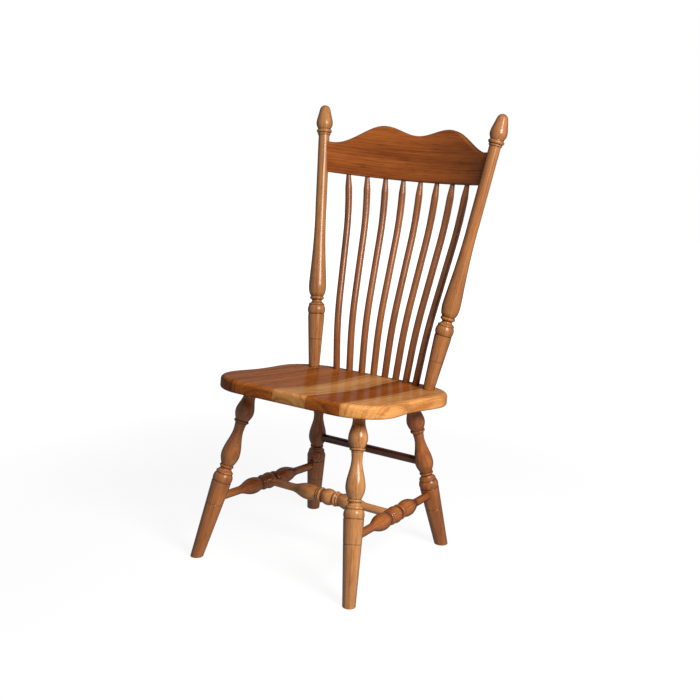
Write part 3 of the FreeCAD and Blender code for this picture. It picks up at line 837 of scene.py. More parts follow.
class Finish(Enum):
    """The chair's finishes. Each piece was stained in its own tone; the left front leg, right post and rear
    stretcher carry painted shade, and the cross stretcher painted light.
    """

    FRONT_LEG = WoodFinish("front_leg_wood", (0.60, 0.270, 0.088), (0.29, 0.090, 0.018))
    # Painted shade: a darker copy of the front leg finish, for the left front leg.
    FRONT_LEFT_LEG = WoodFinish("front_leg_wood", (0.52, 0.180, 0.042), (0.24, 0.062, 0.010), tone="_left")
    BACK_LEG = WoodFinish("back_leg_wood", (0.43, 0.134, 0.024), (0.19, 0.048, 0.007))
    SIDE_STRETCHER = WoodFinish("side_stretcher_wood", (0.46, 0.138, 0.026), (0.22, 0.054, 0.009))
    # Painted light: the cross stretcher is coloured lighter to make up for the seat's shadow on it.
    CROSS_STRETCHER = WoodFinish("cross_stretcher_wood", (0.74, 0.330, 0.106), (0.42, 0.152, 0.038))
    # Painted shade: the rear stretcher is coloured very dark for the shade under the seat.
    REAR_STRETCHER = WoodFinish("rear_stretcher_wood", (0.11, 0.028, 0.007), (0.05, 0.012, 0.004))
    POST = WoodFinish("post_wood", (0.50, 0.215, 0.062), (0.23, 0.072, 0.015))
    # Painted shade: a darker copy of the post finish, for the right post.
    RIGHT_POST = WoodFinish("post_wood", (0.40, 0.152, 0.038), (0.18, 0.051, 0.010), tone="_right")
    CREST = WoodFinish("crest_wood", (0.42, 0.118, 0.022), (0.17, 0.034, 0.006), 0.0060, 0.8, 0.07, 0.6)
    SPINDLE = WoodFinish("spindle_wood", (0.33, 0.104, 0.022), (0.13, 0.033, 0.006))
    SEAT_BROWN = seat_finish("seat_brown_wood", (0.60, 0.180, 0.028), (0.27, 0.064, 0.008))
    SEAT_MID = seat_finish("seat_mid_wood", (0.49, 0.134, 0.020), (0.23, 0.051, 0.006))
    SEAT_LIGHT = seat_finish("seat_light_wood", (0.82, 0.375, 0.112), (0.42, 0.142, 0.030), 0.11, 0.3)


def finish(piece: bpy.types.Object, node: str, look: Finish) -> None:
    """Dresses a piece and says which node of the frame it stands for.

    Args:
        piece: The finished piece, in its place.
        node: The frame's node.
        look: The piece's finish.
    """
    piece.name = node + "_" + piece.name.split(".")[0].split("_")[-1]
    piece.data.name = piece.name
    piece.data.materials.clear()
    piece.data.materials.append(look.value.material())
    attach(piece, BODY)
    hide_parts(node)
    LOG.info("%s: %d faces", piece.name, len(piece.data.polygons))


def pair(name: str, make: Callable[[Vector], bpy.types.Object], looks: Sequence[Finish],
         shifts: Sequence[Vector]) -> None:
    """Makes and dresses a right piece, and the left one as a mirror image from other wood.

    Args:
        name: What the two nodes' names start with.
        make: Makes the right piece from its part of the wood.
        looks: Finish of the right piece and of the left one.
        shifts: Which part of the wood each shows.
    """
    finish(make(shifts[0]), name + "_right", looks[0])
    left = make(shifts[1])
    mirror(left)
    finish(left, name + "_left", looks[1])


# The chair's own lines, shared by its sub-assemblies

@dataclass(frozen=True)
class SeatPlane:
    """Top plane of the seat, which falls to the back.

    Attributes:
        height: Height of the plane midway between the feet.
        tilt: How far it falls to the back, in degrees.
        thickness: Thickness of the seat.
    """

    height: float = 0.4452
    tilt: float = 5.7
    thickness: float = 0.032

    def point(self, x: float, y: float, below: float = 0.0) -> Vector:
        """Place of a point given in the plane's own directions.

        Args:
            x: How far across.
            y: How far back.
            below: How far under the plane.

        Returns:
            The point.
        """
        turn = math.radians(self.tilt)
        level = y * math.cos(turn) - below * math.sin(turn)
        return Vector((x, MIDWAY + level, self.height - y * math.sin(turn) - below * math.cos(turn)))

    def placement(self) -> Matrix:
        """From the plane's own frame to the chair's."""
        turn = Matrix.Rotation(-math.radians(self.tilt), 4, "X")
        return Matrix.Translation((0, MIDWAY, self.height)) @ turn


SEAT = SeatPlane()


class End(Enum):
    """The chair's two ends, by the word in the names of their feet and legs."""

    FRONT = "front"
    BACK = "back"


@dataclass(frozen=True)
class Undercarriage:
    """Four turned legs, two turned side stretchers, the turned cross stretcher and the rear dowel.

    Attributes:
        front_top: Across and back, where a front leg's axis meets the underside of the seat.
        back_top: The same for a back leg.
        leg_tenon: How far the legs reach into the seat.
        taper_start: Distance below the seat where the lower taper starts.
        taper_radius: Radius where the taper starts.
        foot_radius: Radius of a front leg at the floor.
        vase_radius: Radius of the vase between the two turned bands.
        scribe_set: Distance of the scribed line below the taper's start.
        foot_ease: Rounding round the foot.
        side_front_drop: Distance down the front leg of the side stretcher's axis.
        side_back_drop: The same down the back leg.
        rear_drop: The same for the rear stretcher.
        stretcher_tenon: How far the stretchers reach into the legs.
        cross_tenon: How far the cross stretcher reaches into the side stretchers.
        ball_radius: Radius of a stretcher's ball.
        end_radius: Radius of a stretcher's end.
        rear_radius: Radius of the rear stretcher.
    """

    front_top: tuple[float, float] = (0.1608, -0.1120)
    back_top: tuple[float, float] = (0.1416, 0.1580)
    leg_tenon: float = 0.023
    taper_start: float = 0.2464
    taper_radius: float = 0.0246
    foot_radius: float = 0.0156
    vase_radius: float = 0.0236
    scribe_set: float = 0.0580
    foot_ease: float = 0.0012
    side_front_drop: float = 0.2908
    side_back_drop: float = 0.2661
    rear_drop: float = 0.1741
    stretcher_tenon: float = 0.018
    cross_tenon: float = 0.015
    ball_radius: float = 0.0214
    end_radius: float = 0.0104
    rear_radius: float = 0.0106

    def leg_axis(self, end: End) -> tuple[Vector, Vector]:
        """Top and foot of the right leg's axis at one end of the chair."""
        across, back = self.front_top if end is End.FRONT else self.back_top
        return SEAT.point(across, back, SEAT.thickness), FEET[f"foot_{end.value}_right"]

    def down_leg(self, end: End, drop: float) -> Vector:
        """Point at a distance down the right leg's axis."""
        top, foot = self.leg_axis(end)
        return top + (foot - top).normalized() * drop

    def leg_radius(self, distance: float) -> float:
        """Radius of a leg's lower taper.

        Args:
            distance: How far below the seat.

        Returns:
            The radius there.
        """
        top, foot = self.leg_axis(End.FRONT)
        slope = (self.taper_radius - self.foot_radius) / ((foot - top).length - self.taper_start)
        return self.taper_radius - slope * (distance - self.taper_start)

    def leg_outline(self, length: float) -> Outline:
        """Outline of a leg from its tenon's end to past the floor.

        Args:
            length: Length of its axis from the seat to the floor.

        Returns:
            The outline.
        """
        end = length + self.foot_radius
        taper_length = end - self.taper_start
        taper = scribed_taper(taper_length, self.taper_radius, self.leg_radius(end), self.scribe_set)
        # The dark lines at the junctions between the leg's forms are painted shade in its crevices; the
        # scribed line on the taper is stain.
        return Outline(-self.leg_tenon, 0.0152, (
            Stretch(Form.STRAIGHT, self.leg_tenon + 0.0185, 0.0152),
            Stretch(Form.OGEE, 0.0410, 0.0236),
            Stretch(Form.FALLING, 0.0225, 0.0166, stain=0.5),
            Stretch(Form.ROUND, 0.0060, 0.0174, bulge=0.0020),
            Stretch(Form.STRAIGHT, 0.0008, 0.0146, stain=0.5),
            Stretch(Form.ROUND, 0.0032, 0.0140, bulge=0.0007, stain=0.3),
            Stretch(Form.OGEE, 0.0155, 0.0129),
            Stretch(Form.OGEE, 0.0660, self.vase_radius),
            Stretch(Form.FALLING, 0.0275, 0.0152, stain=0.5),
            Stretch(Form.ROUND, 0.0060, 0.0160, bulge=0.0023, stain=0.4),
            Stretch(Form.OGEE, 0.0025, 0.0146, stain=0.3),
            Stretch(Form.FALLING, 0.0085, 0.0208),
            Stretch(Form.ROUND, 0.0050, 0.0204, bulge=0.0010, stain=0.6),
            Stretch(Form.ROUND, 0.0220, 0.0234, bulge=0.0031, stain=0.8),
            Stretch(Form.RISING, 0.0014, self.taper_radius),
            *taper,
        ))

    def leg(self, end: End, shift: Vector) -> bpy.types.Object:
        """Turns, places and foots one leg on the right side.

        Args:
            end: At which end of the chair it stands.
            shift: Which part of the wood it shows.

        Returns:
            The leg.
        """
        top, foot = self.leg_axis(end)
        piece = turned("leg_turned", self.leg_outline((foot - top).length), 56, shift, aim(top, foot - top))

        def cut_foot() -> None:
            """Cuts the leg level at the floor and eases its edge."""
            bpy.ops.mesh.select_all(action="SELECT")
            bpy.ops.mesh.bisect(plane_co=ORIGIN, plane_no=(0, 0, 1), clear_inner=True, use_fill=True)
            bevel(piece, lambda e: all(v.co.z < TINY for v in e.verts), self.foot_ease, 3)

        edit(piece, cut_foot)
        smooth(piece)
        return piece

    def stretcher_outline(self, near: float, far: float) -> Outline:
        """Outline of a turned stretcher with zero at its middle.

        Args:
            near: Length before the middle.
            far: Length after the middle.

        Returns:
            The outline.
        """
        # Painted shade: dark lines in the crevices between the stretcher's forms.
        half = (
            Stretch(Form.FALLING, 0.0180, 0.0156, stain=0.6),
            Stretch(Form.STRAIGHT, 0.0008, 0.0156, stain=0.6),
            Stretch(Form.ROUND, 0.0090, 0.0170, bulge=0.0037, stain=0.3),
            Stretch(Form.STRAIGHT, 0.0006, 0.0166, stain=0.5),
            Stretch(Form.ROUND, 0.0060, 0.0156, bulge=0.0019, stain=0.5),
            Stretch(Form.STRAIGHT, 0.0008, 0.0156, stain=0.5),
            Stretch(Form.RISING, 0.0267, 0.0214),
            Stretch(Form.OGEE, 0.0520, self.end_radius, skew=1.15),
        )
        turned = sum(stretch.length for stretch in half)
        return Outline(-near, self.end_radius, (
            Stretch(Form.STRAIGHT, near - turned, self.end_radius),
            *read_back(half, self.ball_radius),
            *half,
            Stretch(Form.STRAIGHT, far - turned, self.end_radius),
        ))

    def stretcher(self, start: Vector, end: Vector, short: tuple[float, float],
                  shift: Vector) -> bpy.types.Object:
        """Turns and places a stretcher between two axes.

        Args:
            start: Point on the first axis.
            end: Point on the second axis.
            short: How far it stops short of the first axis and of the second.
            shift: Which part of the wood it shows.

        Returns:
            The stretcher.
        """
        half = (end - start).length / 2
        outline = self.stretcher_outline(half - short[0], half - short[1])
        piece = turned("stretcher_turned", outline, 48, shift, aim((start + end) / 2, end - start))
        smooth(piece)
        return piece

    def build(self) -> None:
        """Builds and dresses every piece below the seat."""
        for end, looks, shift in (
            (End.FRONT, (Finish.FRONT_LEG, Finish.FRONT_LEFT_LEG), Vector((0.055, 0.03, 0.2))),
            (End.BACK, (Finish.BACK_LEG, Finish.BACK_LEG), Vector((0.04, -0.05, 1.4))),
        ):
            shifts = (shift, shift + Vector((0.02, 0.03, 3.1)))
            pair(f"leg_{end.value}", lambda wood, end=end: self.leg(end, wood), looks, shifts)

        front = self.down_leg(End.FRONT, self.side_front_drop)
        back = self.down_leg(End.BACK, self.side_back_drop)
        short = (self.leg_radius(self.side_front_drop) - self.stretcher_tenon,
                 self.leg_radius(self.side_back_drop) - self.stretcher_tenon)
        pair("side_stretcher", lambda wood: self.stretcher(front, back, short, wood),
             (Finish.SIDE_STRETCHER, Finish.SIDE_STRETCHER),
             (Vector((0.03, 0.06, 5.0)), Vector((0.06, 0.01, 6.3))))

        middle = (front + back) / 2
        facing = Vector((-middle.x, middle.y, middle.z))
        gap = self.ball_radius - self.cross_tenon
        cross = self.stretcher(facing, middle, (gap, gap), Vector((0.05, 0.02, 7.7)))
        finish(cross, "cross_stretcher", Finish.CROSS_STRETCHER)

        axis = self.down_leg(End.BACK, self.rear_drop)
        reach = axis.x - self.vase_radius + self.stretcher_tenon
        dowel = Outline(-reach, self.rear_radius, (Stretch(Form.STRAIGHT, 2 * reach, self.rear_radius),))
        rear = turned("rear_stretcher_turned", dowel, 40, Vector((0.03, 0.03, 9.0)),
                      aim(Vector((0, axis.y, axis.z)), ACROSS))
        smooth(rear)
        finish(rear, "rear_stretcher", Finish.REAR_STRETCHER)


def read_back(stretches: Sequence[Stretch], first_radius: float) -> list[Stretch]:
    """The same stretches read from the other end.

    Args:
        stretches: Stretches from a middle outwards.
        first_radius: Radius where they start.

    Returns:
        Stretches that end where the given ones start.
    """
    starts = [first_radius] + [stretch.radius for stretch in stretches[:-1]]
    lines = [0.0] + [stretch.stain for stretch in stretches[:-1]]
    result = []
    for stretch, start, line in zip(stretches, starts, lines):
        result.append(replace(stretch, radius=start, stain=line, turned_round=True))
    return result[::-1]


def quarter(x: float, y: float, radius: float, start: float) -> list[Vector]:
    """Points of a quarter circle round a centre, from an angle in degrees, without the last."""
    turns = (math.radians(start + 90 * i / 16) for i in range(16))
    return [Vector((x + radius * math.cos(turn), y + radius * math.sin(turn), 0)) for turn in turns]


def flank(first: tuple[float, float], last: tuple[float, float]) -> list[Vector]:
    """Points of a gentle curve between two places on the seat's side, without the last."""
    (x, y), (far_x, far_y) = first, last
    return [Vector((x + (far_x - x) * ease(i / 12), y + (far_y - y) * i / 12, 0)) for i in range(12)]


@dataclass(frozen=True)
class SeatBoards:
    """Five boards glued edge to edge, shaped and dished as one seat.

    Attributes:
        front: Distance of the front edge before the middle.
        back: Distance of the back edge behind it.
        front_half: Half the width at the front corners.
        waist_half: Half the width at the waist.
        back_half: Half the width at the back corners.
        waist_set: Where the waist lies.
        front_corner: Radius of the front corners.
        back_corner: Radius of the back corners.
        top_round: Rounding of the top edge.
        bottom_round: Rounding of the bottom edge.
        dish_depth: Depth of the dish in the top.
        dish_reach: How far the dish runs out from the middle.
        joints: Where the glue joints lie across the seat.
        rings: Sizes of the rings of faces on the top, as shares of the outline.
    """

    front: float = 0.2025
    back: float = 0.2390
    front_half: float = 0.24575
    waist_half: float = 0.2375
    back_half: float = 0.2455
    waist_set: float = 0.0050
    front_corner: float = 0.1060
    back_corner: float = 0.1115
    top_round: float = 0.010
    bottom_round: float = 0.006
    dish_depth: float = 0.0070
    dish_reach: float = 0.235
    joints: tuple[float, ...] = (-0.1250, -0.0295, 0.0660, 0.1615)
    rings: tuple[float, ...] = (0.93, 0.87, 0.8, 0.72, 0.64, 0.56, 0.48, 0.4, 0.32, 0.24, 0.16, 0.08)

    def right_side(self) -> list[Vector]:
        """Points of the outline, from the middle of the front round the right to the middle of the back.

        Returns:
            The points.
        """
        front_in = self.front_half - self.front_corner
        front_out = self.front_corner - self.front
        back_out = self.back - self.back_corner
        back_in = self.back_half - self.back_corner
        waist = (self.waist_half, self.waist_set)
        return [
            *(Vector((front_in * i / 8, -self.front, 0)) for i in range(8)),
            *quarter(front_in, front_out, self.front_corner, -90),
            *flank((self.front_half, front_out), waist),
            *flank(waist, (self.back_half, back_out)),
            *quarter(back_in, back_out, self.back_corner, 0),
            *(Vector((back_in * (1 - i / 8), self.back, 0)) for i in range(9)),
        ]

    def blank(self) -> bpy.types.Object:
        """Shapes the whole seat in its plane's own frame, before it is parted into boards.

        Returns:
            The seat as one closed solid.
        """
        right = self.right_side()
        left = [Vector((-point.x, point.y, 0)) for point in right[-2::-1]]
        piece = start_point("seat_blank", right[0])

        def shape() -> None:
            """Fills the outline with rings of faces, dishes it, thickens it and rounds its edges."""
            draw_on(right + left)
            merge_doubles()
            bpy.ops.mesh.select_mode(type="EDGE")
            bpy.ops.mesh.select_all(action="SELECT")
            before = 1.0
            for size in (*self.rings, 0.0):
                share = size / before
                extrude_edges_still()
                bpy.ops.transform.resize(value=(share, share, 1), center_override=ORIGIN)
                before = size
            merge_doubles()
            pick(piece, Part.POINTS, lambda v: v.co.length < 10 * TINY)
            bpy.ops.transform.translate(
                value=(0, 0, -self.dish_depth), use_proportional_edit=True,
                proportional_edit_falloff="SMOOTH", proportional_size=self.dish_reach,
            )
            select_faces()
            down = Vector((0, 0, -SEAT.thickness))
            bpy.ops.mesh.extrude_region_move(TRANSFORM_OT_translate={"value": down})
            bpy.ops.transform.resize(value=(1, 1, 0), center_override=down)
            face_outward()
            half = down.z / 2
            bevel(piece, lambda e: corner_edge(e) and e.verts[0].co.z > half, self.top_round, 7)
            bevel(piece, lambda e: corner_edge(e) and e.verts[0].co.z < half, self.bottom_round, 4)

        edit(piece, shape)
        return piece

    def build(self) -> None:
        """Parts the shaped seat along its glue joints and dresses each board."""
        blank = self.blank()
        looks = (Finish.SEAT_BROWN, Finish.SEAT_BROWN, Finish.SEAT_LIGHT, Finish.SEAT_MID, Finish.SEAT_LIGHT)
        edges = (-1.0, *self.joints, 1.0)
        along = Matrix(((1, 0, 0, 0), (0, 0, 1, 0), (0, 1, 0, 0), (0, 0, 0, 1)))
        hearts = ((0.20, 0.052), (-0.02, 0.085), (0.015, 0.060), (0.05, 0.110), (-0.14, 0.048))
        for index, look in enumerate(looks):
            low, high = edges[index], edges[index + 1]
            board = duplicate(blank, "seat_board")

            def part() -> None:
                """Cuts the board out of the seat."""
                for place, side in ((low, -1), (high, 1)):
                    if abs(place) < 1:
                        bpy.ops.mesh.select_all(action="SELECT")
                        bpy.ops.mesh.bisect(plane_co=(place, 0, 0), plane_no=(side, 0, 0),
                                            clear_outer=True, use_fill=True)

            edit(board, part)
            middle = (max(low, -self.front_half) + min(high, self.front_half)) / 2
            heart = hearts[index]
            store_grain(board, along, Vector((heart[0] - middle, heart[1], 12.0 + 1.7 * index)))
            store_lines(board, ())
            settle(board, SEAT.placement())
            smooth(board, 40)
            finish(board, f"seat_board_{index + 1}", look)
        activate(blank)
        bpy.ops.object.delete()


def back_frame(rake: float) -> tuple[Vector, Vector]:
    """Directions up the chair's back and to its rear, for its lean in degrees."""
    lean = math.radians(rake)
    return Vector((0, math.sin(lean), math.cos(lean))), Vector((0, math.cos(lean), -math.sin(lean)))


@dataclass(frozen=True)
class Back:
    """Two turned posts, the bent crest rail between them and eight bent spindles.

    Attributes:
        post_foot: Across and back, where the right post's axis meets the seat's top.
        rake: How far the back leans to the rear, in degrees.
        splay: How far the posts lean out, in degrees.
        post_tenon: How far the posts reach into the seat.
        post_round: Radius of a post at the seat.
        swell_length: Length of the taper above the seat.
        swell_radius: Radius where that taper ends.
        scribe_set: Height of the scribed line on the taper.
        crest_height: Height of the crest rail's lower edge, up the rake.
        bend: Radius of the crest rail's bend.
        crest_thickness: Thickness of the crest rail.
        dip: Height of the rail at its middle.
        hump: Height of the rail at its humps.
        hump_set: Where the humps lie, round the bend.
        shoulder: Height of the rail at its ends.
        shoulder_set: Where the ends begin, round the bend.
        top_round: Rounding of the rail's top edges.
        lower_bevel: Bevel of its lower edges.
        spindle_radius: Radius of a spindle.
        tip_radius: Radius of its top tenon.
        tip_taper: Length of the taper below the crest rail.
        spindle_count: How many spindles there are.
        foot_tenon: How far a spindle reaches into the seat.
        top_tenon: How far it reaches into the crest rail.
        foot_pitch: Spacing of the spindles at the seat.
        top_pitch: Spacing of the spindles at the crest rail, round the bend.
        foot_back: How far back the middle of their row lies at the seat.
        foot_arc: Radius of their row at the seat.
        low_bend: Place along the chord, bow and radius of the lower bend.
        high_bend: The same for the upper bend.
    """

    post_foot: tuple[float, float] = (0.1791, 0.1744)
    rake: float = 11.46
    splay: float = 7.44
    post_tenon: float = 0.024
    post_round: float = 0.0145
    swell_length: float = 0.130
    swell_radius: float = 0.0218
    scribe_set: float = 0.0745
    crest_height: float = 0.5270
    bend: float = 0.527
    crest_thickness: float = 0.020
    dip: float = 0.1192
    hump: float = 0.1392
    hump_set: float = 0.0993
    shoulder: float = 0.0805
    shoulder_set: float = 0.243
    top_round: float = 0.005
    lower_bevel: float = 0.0015
    spindle_radius: float = 0.0092
    tip_radius: float = 0.0060
    tip_taper: float = 0.034
    spindle_count: int = 8
    foot_tenon: float = 0.020
    top_tenon: float = 0.022
    foot_pitch: float = 0.0355
    top_pitch: float = 0.0530
    foot_back: float = 0.2225
    foot_arc: float = 0.405
    low_bend: tuple[float, float, float] = (0.2625, -0.0112, 0.830)
    high_bend: tuple[float, float, float] = (0.804, 0.0120, 0.620)

    def post_axis(self) -> tuple[Vector, Vector]:
        """Foot and direction of the right post's axis."""
        way = Vector((math.tan(math.radians(self.splay)), math.tan(math.radians(self.rake)), 1))
        return SEAT.point(*self.post_foot), way.normalized()

    def crest_end(self) -> Vector:
        """Point of the right post's axis at the middle of the crest rail's end."""
        foot, way = self.post_axis()
        return foot + way * ((self.crest_height + self.shoulder / 2) / way.dot(back_frame(self.rake)[0]))

    def crest_middle(self) -> Vector:
        """Middle of the crest rail's lower edge, from where its bend meets both posts' axes.

        Returns:
            The point.
        """
        up, rear = back_frame(self.rake)
        foot, end = self.post_axis()[0], self.crest_end()
        depth = self.bend - math.sqrt(self.bend ** 2 - end.x ** 2)
        return up * (foot.dot(up) + self.crest_height) + rear * (end.dot(rear) + depth)

    def crest_point(self, distance: float) -> Vector:
        """Point of the crest rail's lower edge.

        Args:
            distance: How far round its bend from the middle.

        Returns:
            The point.
        """
        rear = back_frame(self.rake)[1]
        turn = distance / self.bend
        x = self.bend * math.sin(turn)
        return self.crest_middle() + Vector((x, 0, 0)) - rear * self.bend * (1 - math.cos(turn))

    def post_outline(self) -> Outline:
        """Outline of a post from its tenon's end to the tip of its acorn.

        Returns:
            The outline.
        """
        # The dark line where the post enters the seat and those between its forms are painted shade; the
        # scribed line on the taper is stain.
        return Outline(-self.post_tenon, self.post_round, (
            Stretch(Form.STRAIGHT, self.post_tenon, self.post_round, stain=0.8),
            *scribed_taper(self.swell_length, self.post_round, self.swell_radius, self.scribe_set),
            Stretch(Form.STRAIGHT, 0.0120, 0.0221),
            Stretch(Form.STRAIGHT, 0.0009, 0.0206, stain=0.8),
            Stretch(Form.ROUND, 0.0240, 0.0202, bulge=0.0033, stain=0.5),
            Stretch(Form.ROUND, 0.0038, 0.0206, bulge=0.0010),
            Stretch(Form.RISING, 0.0085, 0.0128),
            Stretch(Form.STRAIGHT, 0.0025, 0.0155, stain=0.4),
            Stretch(Form.ROUND, 0.0085, 0.0170, bulge=0.00275, stain=0.4),
            Stretch(Form.STRAIGHT, 0.0007, 0.0163, stain=0.5),
            Stretch(Form.ROUND, 0.0110, 0.0218, bulge=0.00085),
            Stretch(Form.RISING, 0.0175, 0.0235),
            Stretch(Form.OGEE, 0.1950, 0.0148, skew=0.66),
            Stretch(Form.STRAIGHT, 0.2135, 0.0148, stain=0.5),
            Stretch(Form.ROUND, 0.0060, 0.0160, bulge=0.0020, stain=0.5),
            Stretch(Form.ROUND, 0.0100, 0.0174, bulge=0.0038, stain=0.5),
            Stretch(Form.STRAIGHT, 0.0015, 0.0172, stain=0.5),
            Stretch(Form.RISING, 0.0145, 0.0221),
            Stretch(Form.ROUND, 0.0120, 0.0206, bulge=0.00037),
            Stretch(Form.STRAIGHT, 0.0270, 0.0139),
            Stretch(Form.ROUND, 0.0105, 0.0010, bulge=0.0037),
        ))

    def post(self, shift: Vector) -> bpy.types.Object:
        """Turns and places the right post.

        Args:
            shift: Which part of the wood it shows.

        Returns:
            The post.
        """
        piece = turned("post_turned", self.post_outline(), 52, shift, aim(*self.post_axis()))
        smooth(piece)
        return piece

    def rail_height(self, x: float) -> float:
        """Height of the crest rail's top edge.

        Args:
            x: How far across the chair.

        Returns:
            The height over the lower edge.
        """
        hump = self.bend * math.sin(self.hump_set / self.bend)
        shoulder = self.bend * math.sin(self.shoulder_set / self.bend)
        x = abs(x)
        if x < hump:
            return self.dip + (self.hump - self.dip) * ease(x / hump)
        if x < shoulder:
            return self.hump + (self.shoulder - self.hump) * ease((x - hump) / (shoulder - hump))
        return self.shoulder

    def crest(self) -> bpy.types.Object:
        """Shapes the crest rail flat, with X across, Y to the rear and Z up, then bends it.

        Returns:
            The crest rail in its place.
        """
        half = self.bend * math.asin(self.crest_end().x / self.bend)
        steps = 140
        across = [half * (2 * i / steps - 1) for i in range(steps + 1)]
        tops = [Vector((s, 0, self.rail_height(self.bend * math.sin(s / self.bend)))) for s in across]
        piece = start_point("crest_rail_bent", tops[0])
        rear = Vector((0, self.crest_thickness, 0))
        low = self.crest_thickness / 2

        def shape() -> None:
            """Draws the humps, fills the board down to its lower edge, thickens it and rounds its edges."""
            draw_on(tops)
            bpy.ops.mesh.select_mode(type="EDGE")
            bpy.ops.mesh.select_all(action="SELECT")
            extrude_edges_still()
            bpy.ops.transform.resize(value=(1, 1, 0), center_override=ORIGIN)
            pick(piece, Part.EDGES, lambda e: abs(e.verts[0].co.x - e.verts[1].co.x) < TINY)
            bpy.ops.mesh.subdivide_edgering(number_cuts=7, interpolation="LINEAR", smoothness=0)
            select_faces()
            bpy.ops.transform.translate(value=rear * -0.5)
            bpy.ops.mesh.extrude_region_move(TRANSFORM_OT_translate={"value": rear})
            face_outward()
            bevel(piece, lambda e: rail_edge(e) and e.verts[0].co.z > low, self.top_round, 6)
            bevel(piece, lambda e: rail_edge(e) and e.verts[0].co.z < low, self.lower_bevel, 2)

        edit(piece, shape)
        along = Matrix(((0, 1, 0, 0), (0, 0, 1, 0), (1, 0, 0, 0), (0, 0, 0, 1)))
        store_grain(piece, along, Vector((0.004, 0.115, 22.0)))
        store_lines(piece, ())
        bow = piece.modifiers.new("steam bend", "SIMPLE_DEFORM")
        bow.deform_method = "BEND"
        bow.deform_axis = "Z"
        bow.angle = -2 * half / self.bend
        apply_modifiers(piece)
        up, back = back_frame(self.rake)
        settle(piece, stand(ACROSS, back, up, self.crest_middle()))
        smooth(piece, 40)
        return piece

    def spindle_path(self, index: int) -> list[Vector]:
        """Points of a spindle's centre line, from its foot tenon's end to its top tenon's.

        Args:
            index: Which spindle, from the left.

        Returns:
            The points, close together round its two bends.
        """
        step = index - (self.spindle_count - 1) / 2
        x = step * self.foot_pitch
        back = self.foot_back - self.foot_arc + math.sqrt(self.foot_arc ** 2 - x ** 2)
        foot = SEAT.point(x, back)
        top = self.crest_point(step * self.top_pitch)
        chord = top - foot
        way = chord.normalized()
        rear = (Vector((0, 1, 0)) - way * way.y).normalized()
        low, high = (foot + chord * share + rear * bow for share, bow, _ in (self.low_bend, self.high_bend))
        start = foot - (low - foot).normalized() * self.foot_tenon
        end = top + (top - high).normalized() * self.top_tenon
        return [start, *rounded(foot, low, high, self.low_bend[2]),
                *rounded(low, high, top, self.high_bend[2]), end]

    def spindle(self, index: int, shift: Vector) -> bpy.types.Object:
        """Turns a straight spindle and bends it along its centre line.

        Args:
            index: Which spindle, from the left.
            shift: Which part of the wood it shows.

        Returns:
            The spindle.
        """
        points = self.spindle_path(index)
        length = sum((after - before).length for before, after in zip(points, points[1:]))
        outline = Outline(0.0, self.spindle_radius, (
            Stretch(Form.STRAIGHT, length - self.top_tenon - self.tip_taper, self.spindle_radius),
            Stretch(Form.STRAIGHT, self.tip_taper, self.tip_radius),
            Stretch(Form.STRAIGHT, self.top_tenon, self.tip_radius),
        ), straight_step=0.009)
        piece = lathe("spindle_bent", outline, 32)
        # Painted shade: dark rings where the spindle enters the seat and the crest rail.
        store_lines(piece, ((self.foot_tenon, 0.8), (length - self.top_tenon, 0.7)), 0.0018)
        store_grain(piece, Matrix.Identity(4), shift)
        path = start_point("spindle_path", points[0])
        edit(path, lambda: draw_on(points))
        activate(path)
        bpy.ops.object.convert(target="CURVE")
        path = bpy.context.object
        if (path.data.splines[0].points[0].co.xyz - points[0]).length > 0.001:
            bpy.ops.object.mode_set(mode="EDIT")
            bpy.ops.curve.select_all(action="SELECT")
            bpy.ops.curve.switch_direction()
            bpy.ops.object.mode_set(mode="OBJECT")
        follow = piece.modifiers.new("steam bend", "CURVE")
        follow.object = path
        follow.deform_axis = "POS_Z"
        apply_modifiers(piece)
        activate(path)
        bpy.ops.object.delete()
        smooth(piece)
        return piece

    def build(self) -> None:
        """Builds and dresses every piece above the seat."""
        pair("back_post", self.post, (Finish.RIGHT_POST, Finish.POST),
             (Vector((0.045, 0.05, 15.0)), Vector((0.06, -0.02, 17.0))))
        finish(self.crest(), "crest_rail", Finish.CREST)
        for index in range(self.spindle_count):
            shift = Vector((0.03 + 0.006 * (index % 3), 0.02 + 0.009 * (index % 4), 25.0 + 1.3 * index))
            finish(self.spindle(index, shift), f"spindle_{index + 1}", Finish.SPINDLE)


def rounded(before: Vector, corner: Vector, after: Vector, radius: float) -> list[Vector]:
    """Points of the arc that rounds a corner.

    Args:
        before: A point on the way in.
        corner: The corner.
        after: A point on the way out.
        radius: The arc's radius.

    Returns:
        The points, from the arc's start to its end.
    """
    into = (corner - before).normalized()
    out = (after - corner).normalized()
    turn = into.angle(out)
    start = corner - into * radius * math.tan(turn / 2)
    side = (out - into * into.dot(out)).normalized()
    turns = [turn * i / 10 for i in range(11)]
    return [start + into * radius * math.sin(at) + side * radius * (1 - math.cos(at)) for at in turns]


# Pieces of the frame that keep their shape

